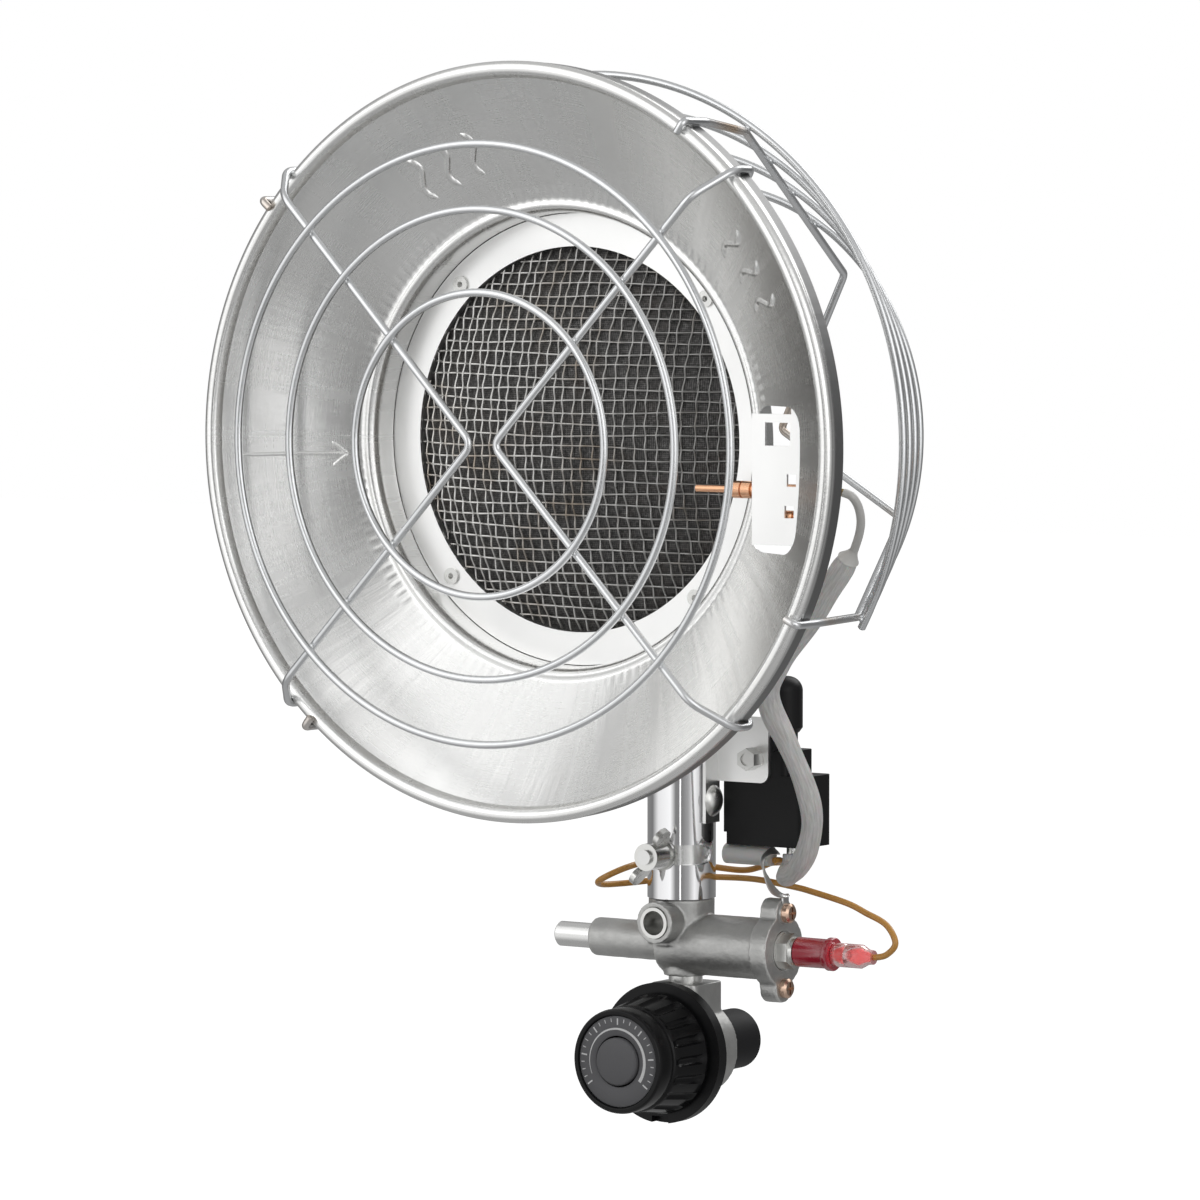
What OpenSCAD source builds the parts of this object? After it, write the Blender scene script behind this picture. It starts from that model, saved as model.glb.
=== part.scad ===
// Tank-top infrared propane heater: a dished reflector with a mesh burner on a swivel neck,
// above a safety valve and a pressure regulator. Millimetres, +Z up, the dish faces -Y.
// The origin is the mouth of the gas inlet, on the regulator's axis.

/* [Reflector] */
// Outer radius of the dish at its rolled rim
dish_r = 150; // [140:1:160]
// Radius of the rolled bead on the rim
rim_bead_r = 3; // [2:0.5:4]
// Depth of the edge turned back behind the rim's bead
rim_lip = 10; // [8:0.5:11]
// Thickness of the reflector sheet
sheet_t = 1; // [0.8:0.1:1.4]
// Depth from the rim to the burner plate
dish_depth = 50; // [46:1:54]
// Radius where the bowl meets the burner seat
bowl_inner_r = 94; // [92:0.5:97]
// Height of the dish's centre above the inlet axis
dish_z = 253.5; // [248:0.5:260]
// Distance from the rim's plane back to the neck's axis
dish_reach = 125; // [122:1:128]
// Length of the window that the electrode looks through
window_len = 57; // [52:1:58]
// Width of the window along the dish wall, seen from the front
window_w = 33; // [30:0.5:33]
// Angle below level at which the window sits
window_angle = 6.6; // [5:0.2:8]

/* [Burner] */
// Radius of the domed burner mesh
mesh_r = 77; // [74:0.5:79]
// Height of the mesh dome
mesh_rise = 20; // [14:1:26]
// Thickness of the coarse woven mesh
mesh_t = 2; // [1.5:0.1:2.4]
// Depth of the burner pan behind its plate
pan_depth = 30; // [24:1:34]
// Radius of the rivet circle
rivet_circle_r = 83.6; // [82.5:0.1:84.5]
// Radius of a rivet's shank
rivet_r = 1.6; // [1.2:0.1:2]

/* [Guards] */
// Radius of the guard wires
wire_r = 1.6; // [1.2:0.1:1.9]
// How far the front rings stand before the rim's plane
front_gap = 20; // [17:1:24]
// Radius of the outer front ring
front_ring_outer = 117.5; // [112:0.5:122]
// Radius of the middle front ring
front_ring_middle = 92; // [86:0.5:97]
// Radius of the inner front ring
front_ring_inner = 59.5; // [54:0.5:64]
// Radius of the widest rear ring
rear_ring_r = 145.5; // [143:0.5:149]
// Depth of the widest rear ring behind the rim's plane
rear_ring_y = 60; // [56:1:64]
// Depth of the rearmost, smallest ring
rear_end_y = 146; // [140:1:150]
// Radius of the smallest rear ring
rear_end_r = 101; // [97:1:106]
// Number of rear rings
rear_ring_count = 4; // [3:1:5]
// Depth where the rear wires bend inwards across the back
rear_back_y = 188; // [182:1:192]

/* [Neck] */
// Outer radius of the chrome neck sleeve
neck_r = 14.1; // [13.8:0.1:14.4]
// Wall of the neck sleeve
neck_wall = 1.5; // [1.2:0.1:2]
// Height of the neck sleeve's lower edge above the inlet axis
neck_z = 63; // [62:0.5:66]
// Length of the neck sleeve
neck_len = 86; // [82:1:92]
// Length of the inner post that the sleeve turns on
post_len = 66; // [60:1:70]
// Running clearance between the sleeve and the post
swivel_fit = 0.05; // [0.03:0.01:0.08]
// Height of the swivel slot above the sleeve's lower edge
slot_rise = 18.5; // [18:0.5:22]
// Angle that the head can swing before the slot stops it
swing = 74; // [40:1:80]
// Radius of the clamp stud
stud_r = 3; // [2.5:0.25:3.5]
// Span of the wing nut's wings
wing_span = 28; // [24:1:32]
// Radius of the burner feed tube
feed_r = 12.2; // [11.9:0.1:12.2]
// Bend radius of the burner feed tube
feed_bend = 32; // [26:1:36]

/* [Valve] */
// Height of the valve's axis above the inlet axis
valve_z = 44; // [43.5:0.25:45]
// Radius of the main barrel
barrel_r = 12.6; // [12:0.1:13.2]
// Radius of the barrel that guides the push pin
guide_r = 8; // [7:0.1:8.6]
// Distance from the neck's axis to the guide's open end
guide_reach = 41.5; // [40:0.5:44]
// Radius of the push pin
pin_r = 5.2; // [4.5:0.1:5.6]
// Running clearance around the push pin
pin_fit = 0.05; // [0.03:0.01:0.08]
// How far the push pin stands out of its guide
pin_out = 19; // [15:0.5:20]
// Travel of the push pin
pin_travel = 6; // [4:0.5:7]
// Distance from the neck's axis to the valve flange's outer face
flange_x = 50; // [48:0.5:53]
// Thickness of the two-screw flange
flange_t = 8; // [6:0.5:9]
// Distance of a flange screw from the valve's axis
flange_screw_dz = 15.4; // [15:0.1:17]
// Outer radius of the front port boss
port_r = 8.6; // [8:0.1:9]
// Bore radius of the front port's bush
port_bore_r = 5; // [4.5:0.1:5.4]

/* [Regulator] */
// Distance from the neck's axis back to the inlet's mouth
inlet_reach = 41; // [38:0.5:44]
// Outer radius of the inlet barrel
inlet_r = 12.5; // [12:0.1:13.5]
// Radius of the inlet's threaded bore
inlet_bore_r = 6; // [5.5:0.1:6.6]
// Depth of the inlet's threaded bore
inlet_bore_len = 14; // [12:0.5:16]
// Radius of the regulator chamber
chamber_r = 20; // [19:0.5:21]
// Radius of the bonnet disc in front of the chamber
bonnet_r = 29; // [27:0.5:30]
// Distance from the neck's axis forward to the bonnet's back
bonnet_y = 10.5; // [10:0.5:12]
// Thickness of the bonnet's disc
bonnet_t = 5.5; // [5:0.5:6.5]

/* [Knob] */
// Radius of the knob's smooth front collar
knob_r = 21.5; // [20.5:0.1:22]
// Radius of the knob's ribbed skirt at its back
skirt_r = 25; // [24:0.1:25.6]
// Length of the knob
knob_len = 30.5; // [28:0.5:32]
// Number of grip ribs on the skirt
rib_count = 18; // [14:1:22]
// Depth of the grooves between the ribs
rib_depth = 1.6; // [1:0.1:2]

/* [Igniter] */
// Width of the igniter housing
box_w = 38; // [36:0.5:40]
// Depth of the igniter housing from front to back
box_d = 23; // [21:0.5:25]
// Height of the igniter housing
box_h = 29; // [27:0.5:31]
// Height of the housing's underside above the inlet axis
box_z = 85.5; // [85:0.5:88]
// Radius of the push button
button_r = 8.5; // [8:0.1:9]
// Height of the push button's cap
button_h = 23; // [20:0.5:25]
// Travel of the push button
button_travel = 6; // [4:0.5:7]
// Thickness of the bracket plate
bracket_t = 1.5; // [1.2:0.1:2]
// Width of the bracket's plate from the neck outwards
bracket_w = 26; // [24:0.5:27]
// Height of the bracket's plate
bracket_h = 27; // [25:0.5:29]

/* [Hidden] */
$fn = 64;

// small shared sizes
gap = 0.1;                 // air between pieces that turn or slide on each other
seat = 0.3;                // air between a soft piece and its neighbour
thread_r = 2;              // M4 screws and spindle
m4_head_r = 4;
m4_head_t = 3;

// colours
STEEL = [0.78, 0.79, 0.80];
CHROME = [0.86, 0.87, 0.89];
CAST = [0.66, 0.67, 0.67];
BLACK = [0.06, 0.06, 0.07];
BRASS = [0.78, 0.62, 0.30];
COPPER = [0.80, 0.48, 0.30];
RED = [0.72, 0.05, 0.12];
CLEAR = [0.88, 0.88, 0.86];

// derived places, measured from the neck's axis at the height of the inlet
dish_y = -dish_reach;
plate_y = dish_y + dish_depth;
plate_t = 1.2;
pan_back_y = plate_y + pan_depth;
pan_r = mesh_r + 1;
seat_r = bowl_inner_r - 3.4;          // inner wall of the burner seat
flange_in_r = mesh_r + 3;             // inner edge of the reflector's flange
post_top = neck_z + post_len;
sleeve_bore = neck_r - neck_wall;
post_r = sleeve_bore - swivel_fit;
post_bore = post_r - 3.4;
stud_z = neck_z + slot_rise;
slot_half = stud_r + 1.1;
washer_t = 1.2;
washer_r = 6.4;
washer_y = -(neck_r + gap);
nut_y = washer_y - 2 * washer_t - gap;
nut_len = 10;
nut_hub_r = 5.6;
nut_tilt = 35;                        // the wings rest this far off the vertical
feed_top = dish_z - feed_bend;
feed_wall = 1.2;
barrel_x = 6;                         // where the wide valve chamber starts
valve_bore = 8;
disc_t = 3;
disc_r = 7;
flange_x0 = flange_x - flange_t;
port_z = neck_z - gap - port_r - seat;
port_y = -20.5;
collar_r = neck_r - 0.5;
valve_foot = valve_z - barrel_r - 0.4;
union_t = 3;
block_top = valve_foot - union_t;
chamber_y1 = 12;                      // back of the regulator chamber
chamber_y0 = -bonnet_y;
bonnet_front = -(bonnet_y + bonnet_t);
knob_back = bonnet_front - 1.5;
knob_front = knob_back - knob_len;
collar_len = 10;
cap_r = 9.8;
cap_t = 1.6;
spring_wire = 0.7;

box_x0 = neck_r + gap + bracket_t + 2;
plate_front = 3;                      // front face of the bracket's plate
box_y0 = plate_front + bracket_t;
plate_z = box_z + 26;
bracket_leg_z = box_z + 9;
nut_z = plate_z + 10;
nut_x = box_x0 + 16;
button_x = box_x0 + 20;
button_y = box_y0 + 13;
stem_r = 6.5;
stem_top = box_z + box_h + 21;
button_z = stem_top - 4;
terminal_x = box_x0 + 29;
terminal_y = box_y0 + 7;
terminal_h = 3;
rivet_z = box_z + 18;

// window and electrode, in the dish's own frame (its centre at 0, its rim at y = 0)
window_mid_r = bowl_inner_r + 16;
window_x = window_mid_r * cos(window_angle);
window_z = -window_mid_r * sin(window_angle);
window_round = 9;                     // radius of the window's corners
bowl_y = dish_depth - 14;             // depth of the bowl's inner edge
electrode_y = bowl_y - 6.5;
electrode_z = window_z - 4.3;
bracket_y = electrode_y - 4;          // front face of the plate seen through the window

// leads: points chosen along their real routes
boot_route = [
    [137.4, -95.5, 236.5], [140.6, -94.5, 235], [141.6, -91.5, 231], [140.6, -88, 225.5],
    [138, -85, 220], [133.4, -81.2, 213.6]
];
boot_top = [133.4, -81.2, 213.6];
boot_end = [129.8, -80, 209.6];
spark_route = [
    [129.8, -80, 209.6], [121.3, -77.5, 199.5], [112.3, -75, 188], [102, -72.5, 176.5],
    [92, -69.5, 166.5], [84.5, -66, 157.5], [82.5, -61, 148], [85.5, -54, 134.5],
    [88, -45, 117.5], [86, -36, 103], [77.5, -26, 89.5], [66.5, -16, 80], [57, -7.5, 76],
    [50.5, 1, 74.5], [47.5, 7, 75], [46.7, 10.8, 78], [46.7, 11.5, 82.2]
];
ground_route = [
    [50.6, 0, 66.6], [50.8, -5, 67.8], [51, -11, 70.5], [50.5, -14.5, 75.5], [48, -13, 80.5],
    [45, -5.5, 83], [43.5, 2, 84], [41, 7.8, 83.6], [38.6, 9, 83]
];
switch_route = [
    [93.1, 0, 44], [98.8, 0, 45.5], [103, 0, 50.5], [97.5, 2, 57.3], [86.6, 4, 61.3],
    [76.2, 6, 64.5], [56.4, 11, 67.5], [46.4, 13.5, 68.6], [26.3, 16, 70.3], [7, 17, 70],
    [-10, 16, 69], [-22, 9, 67.5], [-29.9, 1, 66.6], [-33.5, -8, 66.8], [-32, -14, 68.5],
    [-26, -16, 71.5], [-20.5, -12, 74.5], [-18.5, -2, 76], [-17.5, 8, 76], [-12, 17.5, 75],
    [-1.5, 21, 73.8], [15.7, 21.5, 73], [25.4, 20.5, 75], [32.1, 18.2, 77.2],
    [37.5, 16.5, 78], [40, 12.5, 79.3], [39.1, 9.3, 79.4]
];
spark_r = 4.5;
boot_r = 1.9;
ground_r = 1.2;
switch_r = 1.3;

// ---------- helpers ----------
module at_neck() { translate([0, -inlet_reach, 0]) children(); }
module at_dish() { at_neck() translate([0, dish_y, dish_z]) children(); }
// a cylinder along +X, +Y or the line between two points
module rod_x(r, x0, x1) { translate([x0, 0, 0]) rotate([0, 90, 0]) cylinder(r = r, h = x1 - x0); }
module rod_y(r, y0, y1) { translate([0, y0, 0]) rotate([-90, 0, 0]) cylinder(r = r, h = y1 - y0); }
// a path with each inner corner rounded over a length of bend_len on both sides
function rounded(p, bend_len, steps = 4) = concat([p[0]],
    [for (i = [1 : len(p) - 2])
        let (a = p[i] + bend_len * unit(p[i - 1] - p[i]), b = p[i] + bend_len * unit(p[i + 1] - p[i]))
        for (j = [0 : steps]) let (t = j / steps)
            (1 - t) * (1 - t) * a + 2 * t * (1 - t) * p[i] + t * t * b],
    [p[len(p) - 1]]);
module ring_y(r, wire, y) {
    translate([0, y, 0]) rotate([90, 0, 0]) rotate_extrude($fn = 96)
        translate([r, 0]) circle(r = wire, $fn = 24);
}
// a shape turned about Y from an outline of [radius, y] points
module turned_y(points) {
    rotate([-90, 0, 0]) rotate_extrude($fn = 128) polygon([for (p = points) [p[0], p[1]]]);
}
function on_circle(r, a, y) = [r * cos(a), y, r * sin(a)];

function unit(v) = v / norm(v);
function tangent(p, i) = unit(p[min(i + 1, len(p) - 1)] - p[max(i - 1, 0)]);
function side_of(t) = unit(cross(abs(t[1]) > 0.9 ? [1, 0, 0] : [0, 1, 0], t));
// carries a ring's first direction along the path without twist
function carried(p, i) =
    i == 0 ? side_of(tangent(p, 0)) :
    let (s = carried(p, i - 1), t = tangent(p, i)) unit(s - (s * t) * t);
module tube(p, r, sides = 8) {
    rings = [for (i = [0 : len(p) - 1])
        let (s = carried(p, i), u = cross(tangent(p, i), s))
        for (k = [0 : sides - 1]) p[i] + r * (s * cos(360 * k / sides) + u * sin(360 * k / sides))];
    last = (len(p) - 1) * sides;
    walls = [for (i = [0 : len(p) - 2], k = [0 : sides - 1])
        [i * sides + k, i * sides + (k + 1) % sides,
         (i + 1) * sides + (k + 1) % sides, (i + 1) * sides + k]];
    ends = [[for (k = [sides - 1 : -1 : 0]) k], [for (k = [0 : sides - 1]) last + k]];
    polyhedron(points = rings, faces = concat([for (f = walls) [for (k = [3 : -1 : 0]) f[k]]],
        [for (f = ends) [for (k = [len(f) - 1 : -1 : 0]) f[k]]]), convexity = 8);
}
// a smooth line through a route's points, steps to a span
function bend(a, b, c, d, t) =
    0.5 * ((2 * b) + (c - a) * t + (2 * a - 5 * b + 4 * c - d) * t * t
        + (3 * b - a - 3 * c + d) * t * t * t);
function smooth_route(p, steps) = concat(
    [for (i = [0 : len(p) - 2], j = [0 : steps - 1])
        bend(p[max(i - 1, 0)], p[i], p[i + 1], p[min(i + 2, len(p) - 1)], j / steps)],
    [p[len(p) - 1]]);
function coil(r, turns, height, per_turn = 12) =
    [for (i = [0 : turns * per_turn])
        let (a = 360 * i / per_turn) [r * cos(a), r * sin(a), height * i / (turns * per_turn)]];

// ---------- valve, fixed to the gas supply ----------
module at_valve() { at_neck() translate([0, 0, valve_z]) children(); }

module flange_lobes(x0, x1) {
    rod_x(barrel_r + 2, x0, x1);
    for (s = [-1, 1]) translate([0, 0, s * flange_screw_dz]) rod_x(6, x0, x1);
    translate([x0, -6, -flange_screw_dz]) cube([x1 - x0, 12, 2 * flange_screw_dz]);
}

module valve_body() color(CAST) difference() {
    union() {
        at_valve() {
            rod_x(guide_r, -guide_reach, 0);
            rod_x(barrel_r, -barrel_x, flange_x);
            flange_lobes(flange_x0, flange_x);
        }
        at_neck() {
            translate([0, 0, valve_z]) cylinder(r = collar_r, h = neck_z - gap - valve_z);
            translate([2, 0, valve_foot]) cylinder(r = 9, h = valve_z - valve_foot);
            translate([0, 0, port_z]) rod_y(port_r, port_y, 0);
        }
    }
    at_valve() {
        rod_x(pin_r + pin_fit, -guide_reach - 1, barrel_x);
        rod_x(valve_bore, barrel_x, flange_x + 1);
        for (s = [-1, 1])
            translate([0, 0, s * flange_screw_dz]) rod_x(thread_r, flange_x0 - 1, flange_x + 1);
    }
    at_neck() {
        translate([0, 0, port_z]) {
            rod_y(port_bore_r + 1.4, port_y - 1, port_y + 13);
            rod_y(2, port_y + 12, 0);
            rod_x(2.4, 0, barrel_x + 5);
            cylinder(r = 3, h = neck_z);
        }
        translate([2, 0, valve_foot - 1]) cylinder(r = 2.5, h = valve_z - valve_foot);
    }
}

module neck_post() color(STEEL) at_neck() difference() {
    translate([0, 0, neck_z - gap]) cylinder(r = post_r, h = post_len + gap);
    translate([0, 0, neck_z + 6]) cylinder(r = post_bore, h = post_len);
    translate([0, 0, neck_z - 1]) cylinder(r = 4, h = 8);
    translate([0, 0, stud_z]) rod_y(stud_r, -post_r - 1, 0);
}

module gas_jet() color(BRASS) at_neck() translate([0, 0, neck_z - gap]) difference() {
    union() {
        cylinder(r = 4, h = 6 + gap);
        translate([0, 0, 6 + gap]) cylinder(r = 5.6, h = 4, $fn = 6);
        translate([0, 0, 10 + gap]) cylinder(r1 = 3.2, r2 = 2, h = 3);
    }
    translate([0, 0, -1]) cylinder(r = 2, h = 9);
    cylinder(r = 0.4, h = 20);
}

module clamp_stud() color(STEEL) at_neck() translate([0, 0, stud_z])
    rod_y(stud_r, nut_y - nut_len - 1.5, -post_bore);

module clamp_washers() color(STEEL) at_neck() translate([0, 0, stud_z]) difference() {
    for (i = [0, 1]) rod_y(washer_r - i, washer_y - (i + 1) * washer_t, washer_y - i * washer_t);
    rod_y(stud_r + gap, -neck_r - 10, 0);
}

module wing_nut() color(STEEL) at_neck() translate([0, nut_y, stud_z]) difference() {
    union() {
        rod_y(nut_hub_r, -nut_len, 0);
        rotate([0, 90 + nut_tilt, 0]) for (a = [0, 180]) rotate([0, a, 0]) {
            translate([nut_hub_r - 1, -8, -1.2]) cube([wing_span / 2 - nut_hub_r - 3, 6.5, 2.4]);
            translate([wing_span / 2 - 4, -7, -1.2]) cylinder(r = 4, h = 2.4);
        }
    }
    rod_y(stud_r + pin_fit, -nut_len - 1, 1);
}

module push_pin() color(STEEL) at_valve() {
    tip = -guide_reach - pin_out;
    rod_x(pin_r, tip + 0.8, -12);
    translate([tip, 0, 0]) rotate([0, 90, 0]) cylinder(r1 = pin_r - 0.8, r2 = pin_r, h = 0.8);
    rod_x(2, -12, barrel_x + seat);
}

module valve_disc() color(BLACK) at_valve() rod_x(disc_r, barrel_x + seat, barrel_x + seat + disc_t);

magnet_x = barrel_x + seat + disc_t + pin_travel + 0.2;
shoulder_x = flange_x - 12;
module magnet_unit() color(BRASS) at_valve() {
    rod_x(4.5, magnet_x, shoulder_x);
    rod_x(valve_bore - gap, shoulder_x, flange_x);
    rod_x(3, flange_x, flange_x + 10);
}

module pin_spring() color(STEEL) at_valve() {
    x0 = barrel_x + seat + disc_t + spring_wire + gap;
    translate([x0, 0, 0]) rotate([0, 90, 0])
        tube(coil(6.2, 7, shoulder_x - spring_wire - gap - x0), spring_wire);
}

module flange_screws() color(COPPER) at_valve() for (s = [-1, 1]) {
    lug = s > 0 ? 1 : 0;
    translate([flange_x + lug, 0, s * flange_screw_dz]) difference() {
        union() {
            rod_x(m4_head_r, 0, m4_head_t - 0.8);
            translate([m4_head_t - 0.8, 0, 0]) rotate([0, 90, 0])
                cylinder(r1 = m4_head_r, r2 = m4_head_r - 1, h = 0.8);
            rod_x(thread_r, -flange_t - lug, 0);
        }
        for (a = [0, 90]) rotate([a, 0, 0]) translate([m4_head_t - 1.2, -2.4, -0.5]) cube([2, 4.8, 1]);
    }
}

module flange_nut() color(STEEL) at_valve() difference() {
    union() {
        translate([flange_x, 0, 0]) rotate([0, 90, 0]) cylinder(r = 7.4, h = 5, $fn = 6);
        rod_x(6, flange_x + 5, flange_x + 7);
    }
    rod_x(3, flange_x - 1, flange_x + 8);
}

module connector_socket() color(RED) at_valve() difference() {
    union() {
        rod_x(6.2, flange_x + 7, flange_x + 24);
        rod_x(6.8, flange_x + 22, flange_x + 24.5);
    }
    rod_x(3, flange_x + 6, flange_x + 10);
}

module connector_plug() color(RED) at_valve() {
    rod_x(5, flange_x + 24.5, flange_x + 38);
    translate([flange_x + 38, 0, 0]) rotate([0, 90, 0]) cylinder(r1 = 5, r2 = 3, h = 5);
}

module port_bush() color(STEEL) at_neck() translate([0, 0, port_z]) difference() {
    rod_y(port_bore_r + 1.4, port_y - 0.5, port_y + 13);
    rod_y(port_bore_r, port_y - 1, port_y + 14);
}

module union_collar() color(STEEL) at_neck() translate([2, 0, block_top]) difference() {
    cylinder(r = 7, h = union_t);
    translate([0, 0, -1]) cylinder(r = 2.5, h = union_t + 2);
}

// ---------- regulator ----------
// a block with upright rounded edges
module slab(low, high, r) {
    size = high - low;
    translate(low) {
        for (x = [r, size[0] - r], y = [r, size[1] - r]) translate([x, y, 0]) cylinder(r = r, h = size[2]);
        translate([r, 0, 0]) cube([size[0] - 2 * r, size[1], size[2]]);
        translate([0, r, 0]) cube([size[0], size[1] - 2 * r, size[2]]);
    }
}

block_x0 = -9;
block_x1 = 13;
module regulator_body() color(CAST) at_neck() difference() {
    union() {
        rod_y(chamber_r, chamber_y0, chamber_y1);
        slab([block_x0, chamber_y0, 0], [block_x1, chamber_y1, block_top], 3);
    }
    rod_y(chamber_r - 3, chamber_y0 - 1, chamber_y1 - 5);
    rod_y(3, 0, chamber_y1 + 1);
    translate([2, 3, 0]) cylinder(r = 2.5, h = block_top + 1);
}

module bleed_screw() color(STEEL) at_neck() translate([0, 3, block_top - 5]) {
    rod_x(1.6, block_x0 - 4, block_x0);
    translate([block_x0 - 7, 0, 0]) rotate([0, 90, 0]) {
        cylinder(r1 = 1.6, r2 = 2.4, h = 1);
        translate([0, 0, 1]) cylinder(r = 2.4, h = 2);
    }
}

tower_r = 11;
tower_front = bonnet_front - 18;
spindle_r = 4;
spring_foot = tower_front + 5;
module regulator_bonnet() color(BLACK) at_neck() difference() {
    union() {
        rod_y(bonnet_r, bonnet_front, -bonnet_y);
        rod_y(tower_r, tower_front, bonnet_front);
    }
    rod_y(tower_r - 2, tower_front + 3, 0);
    rod_y(spindle_r + swivel_fit, tower_front - 1, 0);
    translate([-4, bonnet_front - 1, -bonnet_r - 1]) cube([8, bonnet_t - 1, 4]);
}

module diaphragm() color(BLACK) at_neck() rod_y(chamber_r - 3, chamber_y0 + 0.5, chamber_y0 + 1.7);

module range_spring() color(STEEL) at_neck() {
    y0 = spring_foot + 1;
    translate([0, y0, 0]) rotate([-90, 0, 0])
        tube(coil(7, 5, chamber_y0 + 0.5 - 2 - y0 + 1), 0.9);
}

module inlet_barrel() color(BLACK) at_neck() difference() {
    rod_y(inlet_r, chamber_y1, inlet_reach);
    rod_y(inlet_bore_r + 1.6, inlet_reach - inlet_bore_len - 1.2, inlet_reach + 1);
    rod_y(3, chamber_y1 - 1, inlet_reach);
}

module inlet_bush() color(BRASS) at_neck() difference() {
    rod_y(inlet_bore_r + 1.6, inlet_reach - inlet_bore_len, inlet_reach);
    rod_y(inlet_bore_r, inlet_reach - inlet_bore_len - 1, inlet_reach + 1);
}

module inlet_filter() color(BRASS) at_neck()
    rod_y(inlet_bore_r + 1.6, inlet_reach - inlet_bore_len - 1.2, inlet_reach - inlet_bore_len);

// ---------- control knob ----------
collar_y = knob_front + collar_len;
module knob() color(BLACK) at_neck() difference() {
    union() {
        turned_y([[0, knob_front], [knob_r - 2, knob_front], [knob_r - 0.6, knob_front + 0.6],
            [knob_r, knob_front + 2], [knob_r, collar_y], [0, collar_y]]);
        difference() {
            turned_y([[0, collar_y], [knob_r + 0.6, collar_y], [skirt_r, knob_back], [0, knob_back]]);
            for (i = [0 : rib_count - 1]) rotate([0, (i + 0.5) * 360 / rib_count, 0])
                translate([skirt_r + 2.2 - rib_depth, 0, 0]) rod_y(2.4, collar_y + 2.5, knob_back - 4);
        }
    }
    rod_y(tower_r + gap, tower_front - 0.5, knob_back + 1);
    rod_y(spindle_r, knob_front + 3, knob_back);
    rod_y(cap_r, knob_front - 1, knob_front + cap_t);
}

module knob_cap() color(BLACK) at_neck() rod_y(cap_r, knob_front - 1.5, knob_front + cap_t);

module knob_spindle() color(STEEL) at_neck() {
    rod_y(spindle_r, knob_front + 3, spring_foot - 1);
    rod_y(tower_r - 2.2, spring_foot - 2 + gap, spring_foot);
}

// ---------- neck and burner, carried by the swivel ----------
module neck_sleeve() color(CHROME) at_neck() difference() {
    translate([0, 0, neck_z + gap]) cylinder(r = neck_r, h = neck_len - gap);
    translate([0, 0, neck_z - 1]) cylinder(r = sleeve_bore, h = neck_len + 2);
    translate([0, 0, stud_z]) {
        rotate([0, 0, -90]) rotate_extrude(angle = swing)
            translate([sleeve_bore - 2, -slot_half]) square([neck_wall + 4, 2 * slot_half]);
        for (a = [0, swing]) rotate([0, 0, a]) rod_y(slot_half, -neck_r - 2, -sleeve_bore + 2);
    }
    translate([0, 0, rivet_z]) rod_x(2.5, 0, neck_r + 1);
}

module feed_path(r) {
    translate([0, 0, post_top + 1]) cylinder(r = r, h = feed_top - post_top - 1);
    translate([0, -feed_bend, feed_top]) rotate([90, 0, 90])
        rotate_extrude(angle = 90) translate([feed_bend, 0]) circle(r = r);
    translate([0, 0, dish_z]) rod_y(r, pan_back_y - sheet_t, -feed_bend);
}
module feed_tube() color(STEEL) at_neck() difference() {
    feed_path(feed_r);
    feed_path(feed_r - feed_wall);
    translate([0, 0, post_top]) cylinder(r = feed_r - feed_wall, h = 2);
    translate([0, 0, dish_z]) rod_y(feed_r - feed_wall, pan_back_y - 3, pan_back_y);
}

// places something at each burner rivet
module at_rivets() {
    for (k = [0 : 3]) rotate([0, 47.3 + 90 * k, 0]) translate([rivet_circle_r, 0, 0]) children();
}

layer1 = dish_depth;                  // front of the sheet the plate lies on
layer2 = dish_depth + sheet_t;
module burner_pan() color(STEEL) at_dish() difference() {
    turned_y([
        [seat_r - 1, layer2], [seat_r - 1, layer2 + sheet_t], [pan_r + sheet_t, layer2 + sheet_t],
        [pan_r + sheet_t - 6, dish_depth + pan_depth], [feed_r, dish_depth + pan_depth],
        [feed_r, dish_depth + pan_depth - sheet_t], [pan_r - 6, dish_depth + pan_depth - sheet_t],
        [pan_r, layer2]
    ]);
    at_rivets() rod_y(rivet_r, 0, dish_depth + 10);
}

module burner_plate() color(STEEL) at_dish() difference() {
    rod_y(seat_r - 0.3, layer1 - plate_t, layer1);
    rod_y(mesh_r + 0.2, layer1 - plate_t - 1, layer1 + 1);
    at_rivets() rod_y(rivet_r, 0, dish_depth + 10);
}

dome_r = (mesh_r * mesh_r + mesh_rise * mesh_rise) / (2 * mesh_rise);
dome_y = layer1 - mesh_rise + dome_r;
dome_steps = 18;
// the arc of a dome of radius r from its apex to the depth y, as [radius, y] points
function dome_arc(r, y) = [for (i = [0 : dome_steps])
    let (a = acos((dome_y - y) / r) * i / dome_steps) [r * sin(a), dome_y - r * cos(a)]];
function reversed(p) = [for (i = [len(p) - 1 : -1 : 0]) p[i]];
// a domed shell of thickness t with a flat flange round its foot
module dome_shell(r, t, foot, flange_r) {
    turned_y(concat(reversed(dome_arc(r, foot)), dome_arc(r - t, foot + sheet_t),
        [[flange_r, foot + sheet_t], [flange_r, foot]]));
}
module burner_mesh() color(STEEL) at_dish() dome_shell(dome_r, mesh_t, layer1, flange_in_r);
module inner_mesh() color(BLACK) at_dish()
    dome_shell(dome_r - mesh_t - seat, mesh_t / 2, layer2, flange_in_r - 2.6);

module burner_rivets() color(STEEL) at_dish() at_rivets() difference() {
    union() {
        rod_y(3.4, layer1 - plate_t - 1, layer1 - plate_t);
        rod_y(rivet_r, layer1 - plate_t, layer2 + sheet_t);
        rod_y(2.8, layer2 + sheet_t, layer2 + sheet_t + 1);
    }
    rod_y(rivet_r - 0.4, 0, layer1);
}

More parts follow.
